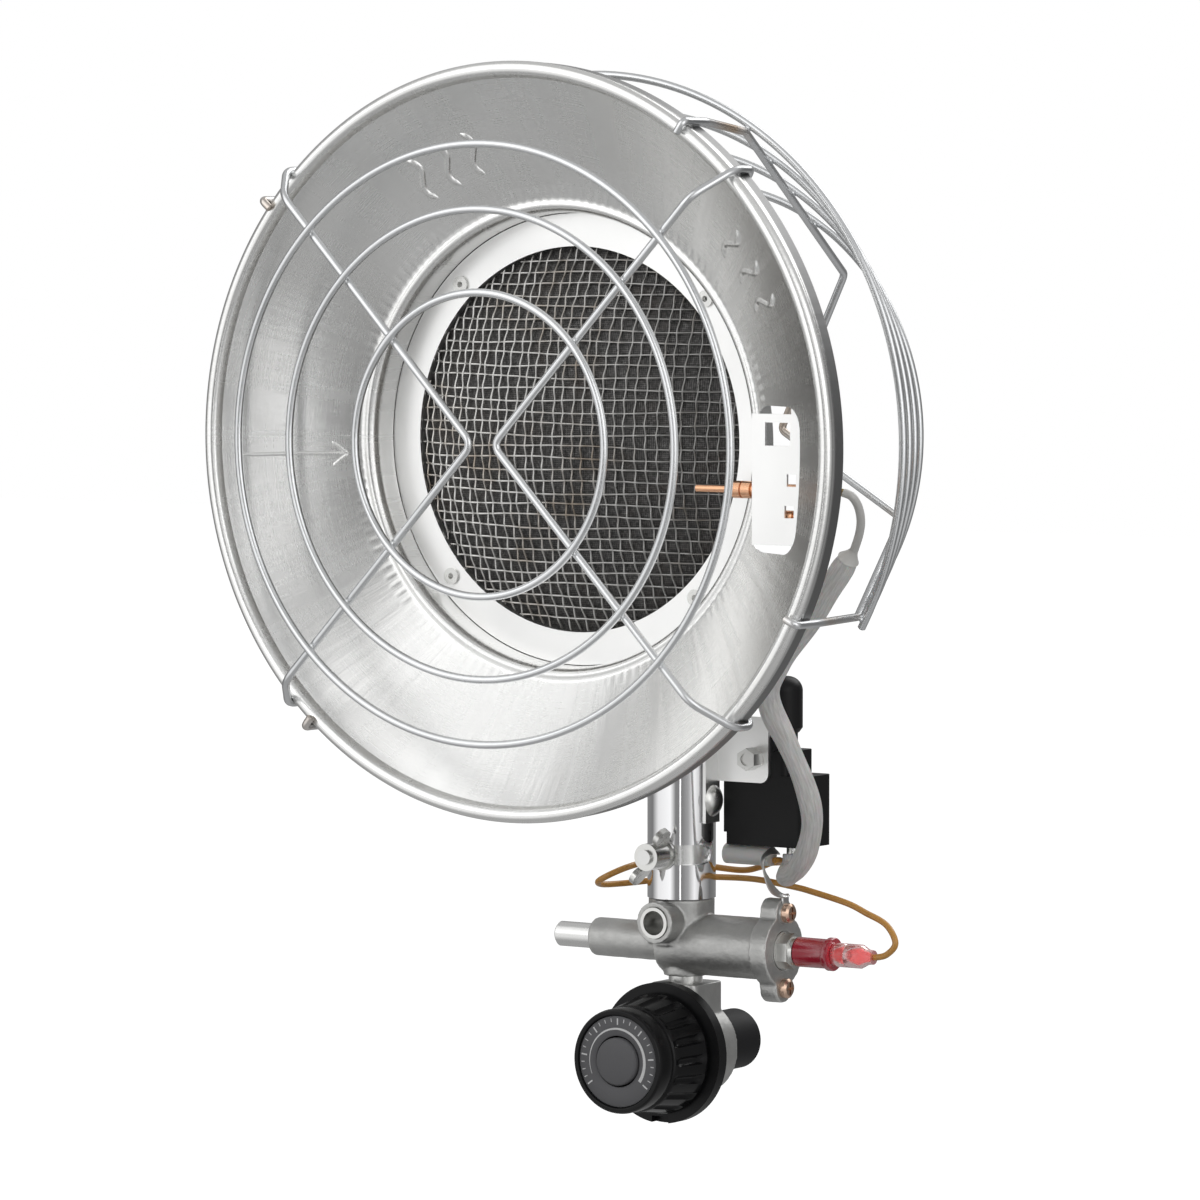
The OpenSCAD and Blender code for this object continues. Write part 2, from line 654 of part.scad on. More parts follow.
bowl_outer_r = dish_r - rim_bead_r;
function bowl(r) = bowl_y * (bowl_outer_r * bowl_outer_r - r * r)
    / (bowl_outer_r * bowl_outer_r - bowl_inner_r * bowl_inner_r);
rim_y = 1.5;                          // depth of the bead's centre line
lip_r = dish_r - 0.3;
// a hole with round corners through the bowl, w and h to each side of its middle
module window_cut(w, h) {
    depth = dish_depth - 11;
    for (x = [-1, 1], z = [-1, 1])
        translate([x * (w - window_round), 0, z * (h - window_round)]) rod_y(window_round, 0, depth);
    translate([-w, 0, window_round - h]) cube([2 * w, depth, 2 * (h - window_round)]);
    translate([window_round - w, 0, -h]) cube([2 * (w - window_round), depth, 2 * h]);
}
bowl_steps = 10;
bowl_rs = [for (i = [0 : bowl_steps]) bowl_outer_r + (bowl_inner_r - bowl_outer_r) * i / bowl_steps];
module reflector() color(STEEL) at_dish() difference() {
    union() {
        turned_y(concat(
            [for (r = bowl_rs) [r, bowl(r)]],
            [[bowl_inner_r + 1, bowl_y - 1.4], [bowl_inner_r - 1, bowl_y - 1.4],
             [seat_r, bowl_y + 3], [seat_r, layer1], [flange_in_r, layer1], [flange_in_r, layer2],
             [seat_r + sheet_t, layer2], [seat_r + sheet_t, bowl_y + 3.4]],
            [for (i = [bowl_steps : -1 : 0]) [bowl_rs[i], bowl(bowl_rs[i]) + 1.2 * sheet_t]]
        ));
        ring_y(bowl_outer_r, rim_bead_r, rim_y);
        turned_y([[lip_r - sheet_t, rim_y], [lip_r, rim_y], [lip_r, rim_lip], [lip_r - sheet_t, rim_lip]]);
    }
    translate([window_x, 0, window_z]) window_cut(window_w / 2, window_len / 2);
    at_rivets() rod_y(rivet_r, 0, dish_depth + 10);
}

// ---------- wire guards ----------
module front_rings() color(STEEL) at_dish()
    for (r = [front_ring_outer, front_ring_middle, front_ring_inner]) ring_y(r, wire_r, -front_gap);

hook_r = dish_r + wire_r + gap;
hook_y = rim_lip + wire_r + seat;
spoke_y = -front_gap + 2 * wire_r;
apex_x = 5;
wire_bend = 2.4;
module front_spokes() color(STEEL) at_dish() for (side = [0, 180])
    tube(rounded(concat(
        [for (s = [0 : 3]) spoke_point(side + 45, s)],
        [[apex_x * cos(side), spoke_y, 0]],
        [for (s = [3 : -1 : 0]) spoke_point(side - 45, s)]
    ), wire_bend), wire_r, 10);
function spoke_point(a, s) =
    s == 0 ? on_circle(bowl_outer_r - 1, a, hook_y) :
    s == 1 ? on_circle(hook_r, a, hook_y) :
    s == 2 ? on_circle(hook_r, a, -1) :
    on_circle(dish_r - 13, a, spoke_y);

// the rear wires run down a cone at these angles, with their hooks a little to one side
rear_angles = [59, -28, 139.5, 227.5];
rear_hooks = [56, -26, 141, 230];
ring_tail = 1.6;                      // how far the rings run past the outer wires, in degrees
function rear_r(i) = rear_ring_r + (rear_end_r - rear_ring_r) * i / (rear_ring_count - 1);
function rear_y(i) = rear_ring_y + (rear_end_y - rear_ring_y) * i / (rear_ring_count - 1);
// the rear rings are open at the bottom, where the neck and the leads pass
module rear_rings() color(STEEL) at_dish() for (i = [0 : rear_ring_count - 1])
    translate([0, rear_y(i), 0]) rotate([90, 0, 0]) rotate([0, 0, rear_angles[1] - ring_tail])
        rotate_extrude(angle = rear_angles[3] - rear_angles[1] + 2 * ring_tail, $fn = 96)
            translate([rear_r(i), 0]) circle(r = wire_r, $fn = 24);

// the rear wires lie just inside the rings, square to the cone they lie on
cone_slope = atan2(rear_end_y - rear_ring_y, rear_ring_r - rear_end_r);
in_r = 2 * wire_r * sin(cone_slope);
in_y = 2 * wire_r * cos(cone_slope);
rear_back_r = rear_ring_r - in_r - (rear_back_y - rear_ring_y + in_y) / tan(cone_slope);
// half of a rear wire, from its hook on the rim to its bend at the back
function rear_half(k) = [
    on_circle(bowl_outer_r - 1, rear_hooks[k], rim_y - rim_bead_r - wire_r - seat),
    on_circle(hook_r, rear_hooks[k], rim_y - rim_bead_r - wire_r - seat),
    on_circle(hook_r, rear_hooks[k], hook_y),
    on_circle(rear_ring_r - in_r, rear_angles[k], rear_ring_y - in_y),
    on_circle(rear_back_r, rear_angles[k], rear_back_y)
];
module rear_spokes() color(STEEL) at_dish() for (side = [0, 1])
    tube(rounded(concat(rear_half(2 * side), [[(1 - 2 * side) * (apex_x + 3), rear_back_y, 0]],
        reversed(rear_half(2 * side + 1))), wire_bend), wire_r, 10);

// ---------- electrode group behind the window ----------
ebr_x0 = bowl_inner_r + 4;
ebr_w = 24;
ebr_h = 51;
ebr_t = 1.2;
ear_w = 6;                            // the ears that hold the plate behind the dish
ear_x = ebr_x0 + ebr_w - ear_w;
ear_h = window_len / 2 + 2.5;
tab_x = ebr_x0 + 8;
tab_h = 24;
tab_d = 8.5;                          // how far the two tabs reach behind the plate
// holes in the plate, each from its inner edge, above its middle, its width and its height
plate_holes = [[6, 13.2, 11.5, 9], [16, -2.5, 4.2, 4.8], [15, -14.7, 4.2, 4.8]];
tip_x = ebr_x0 - 28;                  // the electrode's tip, above the edge of the mesh
module electrode_bracket() color(STEEL) at_dish() difference() {
    translate([0, 0, window_z]) {
        translate([ebr_x0, bracket_y, -ebr_h / 2]) cube([ebr_w, ebr_t, ebr_h]);
        translate([ear_x, bracket_y, -ear_h]) cube([ear_w, ebr_t, 2 * ear_h]);
        for (s = [-1, 1]) {
            foot_y = bowl(norm([ear_x, window_z + s * (ear_h - ebr_t)])) + 1.2 * sheet_t + seat;
            translate([ear_x, foot_y, s > 0 ? ear_h - ebr_t : -ear_h])
                cube([ear_w, bracket_y - foot_y, ebr_t]);
        }
        for (x = [ebr_x0, tab_x]) translate([x, bracket_y, -tab_h + 4]) cube([ebr_t, tab_d, tab_h]);
    }
    for (h = plate_holes)
        translate([ebr_x0 + h[0], bracket_y - 1, window_z + h[1]]) cube([h[2], ebr_t + 2, h[3]]);
    translate([0, electrode_y, electrode_z]) rod_x(2.6 + gap, ebr_x0 - 1, tab_x + 3);
}

module spark_electrode() color(COPPER) at_dish() translate([tip_x, electrode_y, electrode_z]) {
    rod_x(1.5, 0, 15);
    translate([15, 0, 0]) rotate([0, 90, 0]) cylinder(r1 = 1.5, r2 = 3.4, h = 2.5);
    rod_x(3.4, 17.5, 21.3);
    rod_x(2.8, 21.3, 22);
    rod_x(3.4, 22, 26);
    rod_x(2.6, 26, 58);
}

module electrode_terminal() color(BRASS) at_dish() translate([tip_x + 58, electrode_y, electrode_z]) {
    rod_x(2.2, 0, 3);
    rod_x(1.5, 3, 9);
}

module thermocouple() color(COPPER) at_dish() translate([0, electrode_y, electrode_z - 10]) {
    rod_x(1.6, tab_x + ebr_t, tab_x + 16);
    rod_x(2.4, tab_x + 4, tab_x + 9);
}

// ---------- igniter, bolted to the neck ----------
bracket_x = neck_r + gap;
module igniter_bracket() color(STEEL) at_neck() difference() {
    union() {
        translate([bracket_x, -6, bracket_leg_z])
            cube([bracket_t, 6 + box_y0, plate_z + bracket_h - bracket_leg_z]);
        translate([bracket_x, plate_front, plate_z + 4]) cube([bracket_w, bracket_t, bracket_h - 4]);
        translate([bracket_x, plate_front, plate_z]) cube([bracket_w - 4, bracket_t, 5]);
        translate([bracket_x + bracket_w - 4, 0, plate_z + 4]) rod_y(4, plate_front, box_y0);
    }
    translate([0, 0, rivet_z]) rod_x(2.5, 0, neck_r + 10);
    translate([nut_x, 0, nut_z]) rod_y(2.5, 0, 10);
}

rivet_head_r = 6.5;
rivet_head_t = 3;
module bracket_rivet() color(STEEL) at_neck() translate([0, 0, rivet_z]) {
    base = bracket_x + bracket_t;
    ball = (rivet_head_r * rivet_head_r + rivet_head_t * rivet_head_t) / (2 * rivet_head_t);
    rod_x(2.5, sleeve_bore + gap, base + 1);
    translate([base, 0, 0]) rotate([0, 90, 0]) rotate_extrude() intersection() {
        square([rivet_head_r + 1, rivet_head_t + 1]);
        translate([0, rivet_head_t - ball]) circle(r = ball, $fn = 160);
    }
}

nut_h = 7;
module bracket_nut() color(STEEL) at_neck() translate([nut_x, 0, nut_z]) difference() {
    translate([0, plate_front, 0]) rotate([90, 30, 0]) cylinder(r = 4.62, h = nut_h, $fn = 6);
    rod_y(2.5, plate_front - nut_h - 1, plate_front + 1);
}
module bracket_bolt() color(STEEL) at_neck() translate([nut_x, 0, nut_z])
    rod_y(2.5, plate_front - nut_h + 0.8, box_y0 + 3);

ear_t = 4;
upper_top = button_z - button_travel - 1;
module igniter_housing() color(BLACK) at_neck() difference() {
    union() {
        slab([box_x0, box_y0, box_z], [box_x0 + box_w, box_y0 + box_d, box_z + box_h], 3);
        slab([box_x0, box_y0, box_z + 5], [box_x0 + 30, box_y0 + box_d - 1, upper_top], 3);
        translate([box_x0, box_y0, box_z + 5]) cube([24, ear_t, 40]);
        translate([button_x, button_y, box_z + 5]) cylinder(r = stem_r, h = stem_top - box_z - 5);
    }
    translate([box_x0 + 10, box_y0 + 5, box_z + 2]) cube([box_w - 12, box_d - 7, box_h - 4]);
    translate([button_x, button_y, box_z + 3]) cylinder(r = stem_r - 1.1, h = stem_top);
    translate([nut_x, 0, nut_z]) rod_y(2.5, 0, box_y0 + 3);
}

module piezo_element() color(BLACK) at_neck()
    translate([button_x, button_y, box_z + 2]) cylinder(r = stem_r - 1.2, h = box_h);

plunger_r = 3;
cap_round = 6;
cavity_h = 4 + button_travel + 1;
module igniter_button() color(BLACK) at_neck() translate([button_x, button_y, button_z]) {
    plunger_z = box_z + 2 + box_h + button_travel + seat - button_z;
    translate([0, 0, plunger_z]) cylinder(r = plunger_r, h = cavity_h - plunger_z + 1);
    difference() {
        union() {
            cylinder(r1 = button_r - 1.5, r2 = button_r, h = 2);
            translate([0, 0, 2]) cylinder(r = button_r, h = button_h - cap_round - 2);
            cylinder(r = button_r - cap_round, h = button_h);
            translate([0, 0, button_h - cap_round]) rotate_extrude() intersection() {
                square([button_r, cap_round]);
                translate([button_r - cap_round, 0]) circle(r = cap_round);
            }
        }
        translate([0, 0, -1]) cylinder(r = stem_r + swivel_fit, h = cavity_h + 1);
    }
}

module button_spring() color(STEEL) at_neck() {
    z0 = box_z + 2 + box_h + spring_wire + gap;
    top = button_z + cavity_h - spring_wire - gap;
    translate([button_x, button_y, z0]) tube(coil(4.3, 6, top - z0), spring_wire);
}

module piezo_terminal() color(STEEL) at_neck()
    translate([terminal_x, terminal_y, box_z - terminal_h]) cylinder(r = 2.5, h = terminal_h);

module tilt_switch() color(CLEAR) at_neck()
    translate([0, box_y0 + 5, box_z - 4.2 - gap]) rod_x(4.2, box_x0 - 1.5, box_x0 + 20);

// ---------- leads ----------
module spark_lead() color(CLEAR) at_neck() tube(smooth_route(spark_route, 3), spark_r, 10);

module lead_boot() color(CLEAR) at_neck() {
    tube(smooth_route(boot_route, 3), boot_r, 8);
    d = boot_end - boot_top;
    translate(boot_top) rotate([0, acos(d[2] / norm(d)), atan2(d[1], d[0])])
        cylinder(r1 = 2.2, r2 = spark_r, h = norm(d) - seat);
}

module ground_lead() color(STEEL) at_neck() {
    tube(smooth_route(ground_route, 3), ground_r);
    translate([0, 0, valve_z + flange_screw_dz]) difference() {
        union() {
            rod_x(4.4, flange_x, flange_x + 1);
            translate([flange_x, -2, 0]) cube([1, 4, 8]);
        }
        rod_x(thread_r, flange_x - 1, flange_x + 2);
    }
}

module switch_lead() color([0.80, 0.45, 0.08]) at_neck() tube(smooth_route(switch_route, 3), switch_r);

valve_body();
neck_post();
gas_jet();
clamp_stud();
clamp_washers();
wing_nut();
push_pin();
valve_disc();
pin_spring();
magnet_unit();
flange_screws();
flange_nut();
connector_socket();
connector_plug();
port_bush();
union_collar();
bleed_screw();
regulator_body();
regulator_bonnet();
diaphragm();
range_spring();
inlet_barrel();
inlet_bush();
inlet_filter();
knob();
knob_cap();
knob_spindle();
neck_sleeve();
feed_tube();
burner_pan();
burner_plate();
burner_mesh();
inner_mesh();
burner_rivets();
reflector();
front_rings();
front_spokes();
rear_rings();
rear_spokes();
electrode_bracket();
spark_electrode();
electrode_terminal();
thermocouple();
igniter_bracket();
bracket_rivet();
bracket_bolt();
bracket_nut();
igniter_housing();
igniter_button();
button_spring();
piezo_element();
piezo_terminal();
tilt_switch();
spark_lead();
lead_boot();
ground_lead();
switch_lead();
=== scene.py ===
"""Looks of a tank-top infrared propane heater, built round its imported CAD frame.

Lengths are in millimetres until the last step of each piece, where MM turns them to metres.
The row frame: the origin is the gas inlet's mouth, +Z is up, the dish faces -Y.
"""
import math
import random

import bpy
from mathutils import Matrix, Vector, noise


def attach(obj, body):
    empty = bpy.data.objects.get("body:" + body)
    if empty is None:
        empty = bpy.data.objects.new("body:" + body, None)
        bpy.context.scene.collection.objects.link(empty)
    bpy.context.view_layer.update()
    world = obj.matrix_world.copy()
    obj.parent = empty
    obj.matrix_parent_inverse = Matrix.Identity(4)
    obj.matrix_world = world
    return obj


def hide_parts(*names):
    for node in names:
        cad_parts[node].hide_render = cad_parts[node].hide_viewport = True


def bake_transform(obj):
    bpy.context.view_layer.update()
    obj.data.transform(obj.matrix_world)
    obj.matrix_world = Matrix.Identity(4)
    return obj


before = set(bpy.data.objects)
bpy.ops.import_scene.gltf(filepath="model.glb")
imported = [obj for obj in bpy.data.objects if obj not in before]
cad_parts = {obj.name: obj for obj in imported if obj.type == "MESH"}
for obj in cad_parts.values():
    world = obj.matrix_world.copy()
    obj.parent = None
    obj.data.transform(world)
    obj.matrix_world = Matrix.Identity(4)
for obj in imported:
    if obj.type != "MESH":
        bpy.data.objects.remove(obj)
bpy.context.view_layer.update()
MM = 0.001

# ---------- sizes shared with the CAD source, in millimetres ----------
NECK = Vector((0, -41, 0))
DISH = Vector((0, -166, 253.5))
VALVE = Vector((0, -41, 44))
DISH_R, BEAD_R, SHEET = 150.0, 3.0, 1.0
BOWL_OUT, BOWL_IN, BOWL_DEPTH = 147.0, 94.0, 36.0
SEAT_R, PLATE_Y, FLANGE_IN = 90.6, 50.0, 80.0
MESH_R, MESH_RISE = 77.0, 20.0
WIRE_R = 1.6
FRONT_Y = -20.0
FRONT_RINGS = (117.5, 92.0, 59.5)
REAR_RINGS = [(145.5 - 44.5 * i / 3, 60 + 86.0 * i / 3) for i in range(4)]
REAR_BACK_Y = 188.0
REAR_ANGLES = (59, -28, 139.5, 227.5)
REAR_HOOKS = (56, -26, 141, 230)
LIP_R, LIP_Y, BEAD_Y = 149.7, 10.0, 1.5
WINDOW_R, WINDOW_DEG, WINDOW_W, WINDOW_H, WINDOW_ROUND = 110.0, 6.6, 16.5, 28.5, 9.0
KNOB_BACK, KNOB_FRONT, KNOB_R = -17.5, -48.0, 21.5

# ---------- camera: the photograph's angle, 472 mm across at the dish ----------
AZIMUTH, ELEVATION, DISTANCE, FIELD = math.radians(34.1), math.radians(3.6), 2500.0, 471.9
AIM_RIGHT, AIM_UP = 36.5, -61.6


def make_camera():
    back = Vector((math.sin(AZIMUTH) * math.cos(ELEVATION),
                   -math.cos(AZIMUTH) * math.cos(ELEVATION), math.sin(ELEVATION)))
    right = Vector((math.cos(AZIMUTH), math.sin(AZIMUTH), 0))
    up = back.cross(right)
    data = bpy.data.cameras.new("camera")
    data.sensor_width = 36
    data.lens = 36 * DISTANCE / FIELD
    data.clip_start, data.clip_end = 0.05, 60
    camera = bpy.data.objects.new("camera", data)
    bpy.context.scene.collection.objects.link(camera)
    place = (DISH + AIM_RIGHT * right + AIM_UP * up + DISTANCE * back) * MM
    axes = Matrix((right, up, back)).transposed().to_4x4()
    camera.matrix_world = Matrix.Translation(place) @ axes
    bpy.context.scene.camera = camera


make_camera()


# ---------- mesh helpers ----------
def add_mesh(name, points, faces, at=Vector((0, 0, 0)), smooth=math.radians(35)):
    """A mesh object from points in millimetres, moved by at, and scaled to metres."""
    mesh = bpy.data.meshes.new(name)
    mesh.from_pydata([tuple((Vector(p) + at) * MM) for p in points], [], faces)
    mesh.validate()
    mesh.update()
    obj = bpy.data.objects.new(name, mesh)
    bpy.context.scene.collection.objects.link(obj)
    if smooth is not None:
        mesh.polygons.foreach_set("use_smooth", [True] * len(mesh.polygons))
        mesh.set_sharp_from_angle(angle=smooth)
    return obj


def finish_piece(obj, body, material, slot, *nodes):
    """Gives a piece its material and its moving body, and hides the CAD nodes it replaces. The slot is not
    used.
    """
    obj.data.materials.clear()
    obj.data.materials.append(material)
    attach(obj, body)
    if nodes:
        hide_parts(*nodes)


def catmull(points, steps):
    """A smooth line through the points."""
    p = [Vector(q) for q in points]
    n = len(p)
    out = []
    for i in range(n - 1):
        a, b, c, d = p[max(i - 1, 0)], p[i], p[i + 1], p[min(i + 2, n - 1)]
        for j in range(steps):
            t = j / steps
            out.append(0.5 * (2 * b + (c - a) * t + (2 * a - 5 * b + 4 * c - d) * t * t
                              + (3 * b - a - 3 * c + d) * t ** 3))
    out.append(p[-1])
    return out


def rounded(points, length, steps):
    """The path with each inner corner rounded over a length on both sides."""
    p = [Vector(q) for q in points]
    out = [p[0]]
    for i in range(1, len(p) - 1):
        a = p[i] + length * (p[i - 1] - p[i]).normalized()
        b = p[i] + length * (p[i + 1] - p[i]).normalized()
        for j in range(steps + 1):
            t = j / steps
            out.append((1 - t) ** 2 * a + 2 * t * (1 - t) * p[i] + t * t * b)
    out.append(p[-1])
    return out


def sweep(points, section, closed=False):
    """Points and faces of section(i, share) rings, lists of (side, up) offsets, along a line."""
    p = [Vector(q) for q in points]
    n = len(p)
    verts, faces, rings = [], [], []
    side = None
    for i in range(n):
        if closed:
            t = (p[(i + 1) % n] - p[i - 1]).normalized()
        else:
            t = (p[min(i + 1, n - 1)] - p[max(i - 1, 0)]).normalized()
        if side is None:
            side = t.cross(Vector((0, 0, 1)) if abs(t.z) < 0.9 else Vector((1, 0, 0))).normalized()
        else:
            side = (side - side.dot(t) * t).normalized()
        upward = side.cross(t)
        ring = []
        for a, b in section(i, i / max(n - 1, 1)):
            ring.append(len(verts))
            verts.append(p[i] + side * a + upward * b)
        rings.append(ring)
    k = len(rings[0])
    for i in range(n if closed else n - 1):
        a, b = rings[i], rings[(i + 1) % n]
        for j in range(k):
            faces.append((a[j], a[(j + 1) % k], b[(j + 1) % k], b[j]))
    if not closed:
        faces.append(tuple(reversed(rings[0])))
        faces.append(tuple(rings[-1]))
    return verts, faces


def circle(radius, sides, flat=1.0):
    """(side, up) offsets round a circle, pressed flat by a share."""
    turns = [2 * math.pi * k / sides for k in range(sides)]
    return [(radius * math.cos(a), flat * radius * math.sin(a)) for a in turns]


class Parts:
    """Collects several swept or lathed forms into one mesh."""

    def __init__(self):
        self.points, self.faces = [], []

    def add(self, points, faces):
        base = len(self.points)
        self.points += list(points)
        self.faces += [tuple(base + i for i in f) for f in faces]
        return self

    def tube(self, points, radius, sides=16, closed=False):
        return self.add(*sweep(points, lambda i, share: circle(radius, sides), closed))

    def made(self, name, at=Vector((0, 0, 0)), smooth=math.radians(35)):
        return add_mesh(name, self.points, self.faces, at, smooth)


def lathe(profile, segments=128, radius_at=None, closed=False):
    """Points and faces of (radius, y) pairs turned about the Y axis."""
    points, faces = [], []
    rows = len(profile)
    for r, y in profile:
        for k in range(segments):
            a = 2 * math.pi * k / segments
            q = r if radius_at is None else radius_at(r, y, a)
            points.append(Vector((q * math.cos(a), y, q * math.sin(a))))
    for i in range(rows if closed else rows - 1):
        m = (i + 1) % rows
        for k in range(segments):
            n = (k + 1) % segments
            faces.append((i * segments + k, i * segments + n, m * segments + n, m * segments + k))
    if not closed:
        faces.append(tuple(reversed(range(segments))))
        faces.append(tuple((rows - 1) * segments + k for k in range(segments)))
    return points, faces


def on_circle(r, degrees, y):
    a = math.radians(degrees)
    return Vector((r * math.cos(a), y, r * math.sin(a)))


def bowl_y(r):
    return BOWL_DEPTH * (BOWL_OUT ** 2 - r * r) / (BOWL_OUT ** 2 - BOWL_IN ** 2)


# ---------- materials ----------
class Nodes:
    """A short way to write a node material."""

    def __init__(self, name):
        self.material = bpy.data.materials.new(name)
        self.material.use_nodes = True
        self.tree = self.material.node_tree
        self.shader = self.tree.nodes["Principled BSDF"]
        self.where = self.new("ShaderNodeTexCoord").outputs["Object"]

    def new(self, kind, **values):
        node = self.tree.nodes.new(kind)
        for key, value in values.items():
            setattr(node, key, value)
        return node

    def link(self, a, b):
        self.tree.links.new(a, b)

    def put(self, socket, value):
        if isinstance(value, bpy.types.NodeSocket):
            self.link(value, socket)
        else:
            socket.default_value = value

    def set(self, **values):
        for key, value in values.items():
            self.put(self.shader.inputs[key.replace("_", " ")], value)

    def math(self, operation, a, b=0.0):
        node = self.new("ShaderNodeMath", operation=operation)
        for socket, value in zip(node.inputs, (a, b)):
            self.put(socket, value)
        return node.outputs[0]

    def scaled(self, x, y, z):
        node = self.new("ShaderNodeMapping")
        self.link(self.where, node.inputs["Vector"])
        node.inputs["Scale"].default_value = (x, y, z)
        return node.outputs[0]

    def noise(self, scale, detail=4.0, roughness=0.55, where=None):
        node = self.new("ShaderNodeTexNoise")
        self.put(node.inputs["Vector"], where or self.where)
        node.inputs["Scale"].default_value = scale
        node.inputs["Detail"].default_value = detail
        node.inputs["Roughness"].default_value = roughness
        return node.outputs["Fac"]

    def noise_over(self, one, two, roughness):
        """Noise over two values that are already scaled, instead of over the place."""
        pair = self.new("ShaderNodeCombineXYZ")
        self.link(one, pair.inputs[0])
        self.link(two, pair.inputs[1])
        return self.noise(1.0, 4, roughness, pair.outputs[0])

    def range(self, value, a, b, low, high):
        node = self.new("ShaderNodeMapRange")
        for key, v in zip(("Value", "From Min", "From Max", "To Min", "To Max"), (value, a, b, low, high)):
            self.put(node.inputs[key], v)
        return node.outputs[0]

    def mix(self, share, a, b):
        node = self.new("ShaderNodeMix", data_type="RGBA")
        self.put(node.inputs[0], share)
        for socket, value in ((node.inputs[6], a), (node.inputs[7], b)):
            self.put(socket, (*value, 1) if isinstance(value, tuple) else value)
        return node.outputs[2]

    def bump(self, height, distance_mm, strength=1.0, normal=None):
        node = self.new("ShaderNodeBump")
        node.inputs["Strength"].default_value = strength
        node.inputs["Distance"].default_value = distance_mm * MM
        self.put(node.inputs["Height"], height)
        if normal is not None:
            self.link(normal, node.inputs["Normal"])
        return node.outputs[0]

    def split(self, vector):
        node = self.new("ShaderNodeSeparateXYZ")
        self.put(node.inputs[0], vector)
        return node.outputs


def metal(name, colour, rough, grain=(60, 60, 60), spread=0.06, bump_mm=0.0, fine=900.0):
    """Metal with uneven polish: grain stretches its streaks, and bump_mm lifts a fine texture."""
    m = Nodes(name)
    streak = m.noise(1.0, 5, 0.6, m.scaled(*grain))
    smudge = m.noise(28.0, 3)
    tone = m.math("MULTIPLY", m.math("ADD", streak, smudge), 0.5)
    dark = tuple(c * 0.88 for c in colour)
    m.set(Base_Color=m.mix(tone, dark, colour), Metallic=1.0,
          Roughness=m.range(tone, 0.3, 0.7, rough - spread, rough + spread))
    if bump_mm:
        m.set(Normal=m.bump(m.noise(fine, 3), bump_mm))
    return m.material


def spun_steel():
    """Sheet spun on a lathe: ring-wise brushing, faint stains, painted shade on the turned-back edge, and
    crimps round the inner step.
    """
    m = Nodes("spun_steel")
    x, y, z = m.split(m.where)
    z = m.math("SUBTRACT", z, DISH.z * MM)
    r = m.math("SQRT", m.math("ADD", m.math("MULTIPLY", x, x), m.math("MULTIPLY", z, z)))
    angle = m.math("ARCTAN2", z, x)
    brush = m.noise_over(m.math("MULTIPLY", r, 2600.0), m.math("MULTIPLY", angle, 1.6), 0.6)
    fan = m.noise_over(m.math("MULTIPLY", angle, 9.0), m.math("MULTIPLY", r, 8.0), 0.65)
    stain = m.noise(17.0, 5, 0.6)
    tone = m.math("ADD", m.math("MULTIPLY", brush, 0.35), m.math("MULTIPLY", fan, 0.65))
    # painted shade: the turned-back edge is coloured dark grey for the shade it lies in, and made rougher
    lip_starts, lip_depth = (0.1476, 0.1482), (0.0030, 0.0042)
    behind = m.range(m.math("SUBTRACT", y, DISH.y * MM), *lip_depth, 0.0, 1.0)
    turned_edge_painted_shade = m.math("MULTIPLY", m.range(r, *lip_starts, 0.0, 1.0), behind)
    face = m.mix(m.range(stain, 0.45, 0.75, 0.0, 0.35), (0.84, 0.84, 0.83), (0.68, 0.67, 0.65))
    rough = m.math("MAXIMUM", m.range(tone, 0.3, 0.7, 0.20, 0.33), m.math("MULTIPLY", turned_edge_painted_shade, 0.42))
    m.set(Base_Color=m.mix(turned_edge_painted_shade, face, (0.26, 0.26, 0.26)), Metallic=1.0, Anisotropic=0.55, Roughness=rough)
    tangent = m.new("ShaderNodeTangent", direction_type="RADIAL", axis="Y")
    m.link(tangent.outputs[0], m.shader.inputs["Tangent"])

    step_starts, step_ends = (0.0952, 0.0968), (0.1015, 0.0985)
    near_step = m.math("MULTIPLY", m.range(r, *step_starts, 0.0, 1.0), m.range(r, *step_ends, 0.0, 1.0))
    teeth = m.math("POWER", m.math("ABSOLUTE", m.math("SINE", m.math("MULTIPLY", angle, 75.0))), 3.0)
    uneven = m.range(m.noise(24.0, 2), 0.42, 0.6, 0.0, 1.0)
    crimp = m.math("MULTIPLY", m.math("MULTIPLY", teeth, near_step), uneven)
    crimped = m.bump(crimp, 0.35, 0.6, m.bump(brush, 0.012))
    m.set(Normal=m.bump(fan, 0.5, 0.6, crimped))
    return m.material


def guard_wire(name, tinted):
    """Plated wire, with heat stains where it is tinted."""
    m = Nodes(name)
    patch = m.noise(22.0, 4, 0.6)
    steel = m.mix(patch, (0.56, 0.57, 0.58), (0.82, 0.83, 0.84))
    if tinted:
        heat = m.range(m.noise(13.0, 3, 0.6), 0.50, 0.66, 0.0, 0.85)
        steel = m.mix(heat, steel, (0.50, 0.34, 0.20))
    m.set(Base_Color=steel, Metallic=1.0, Roughness=m.range(patch, 0.3, 0.7, 0.18, 0.32),
          Normal=m.bump(m.noise(420.0, 3), 0.03))
    return m.material


def casting():
    """Die-cast alloy: fine pits, soft stains and edges rubbed bright."""
    m = Nodes("casting")
    pits = m.noise(850.0, 5, 0.65)
    lumps = m.noise(130.0, 4, 0.6)
    edge = m.range(m.new("ShaderNodeNewGeometry").outputs["Pointiness"], 0.50, 0.60, 0.0, 1.0)
    tone = m.mix(lumps, (0.36, 0.36, 0.355), (0.56, 0.56, 0.545))
    m.set(Base_Color=m.mix(edge, tone, (0.76, 0.76, 0.74)), Metallic=0.85,
          Roughness=m.range(pits, 0.3, 0.7, 0.36, 0.52),
          Normal=m.bump(pits, 0.12, 1.0, m.bump(lumps, 0.25)))
    return m.material


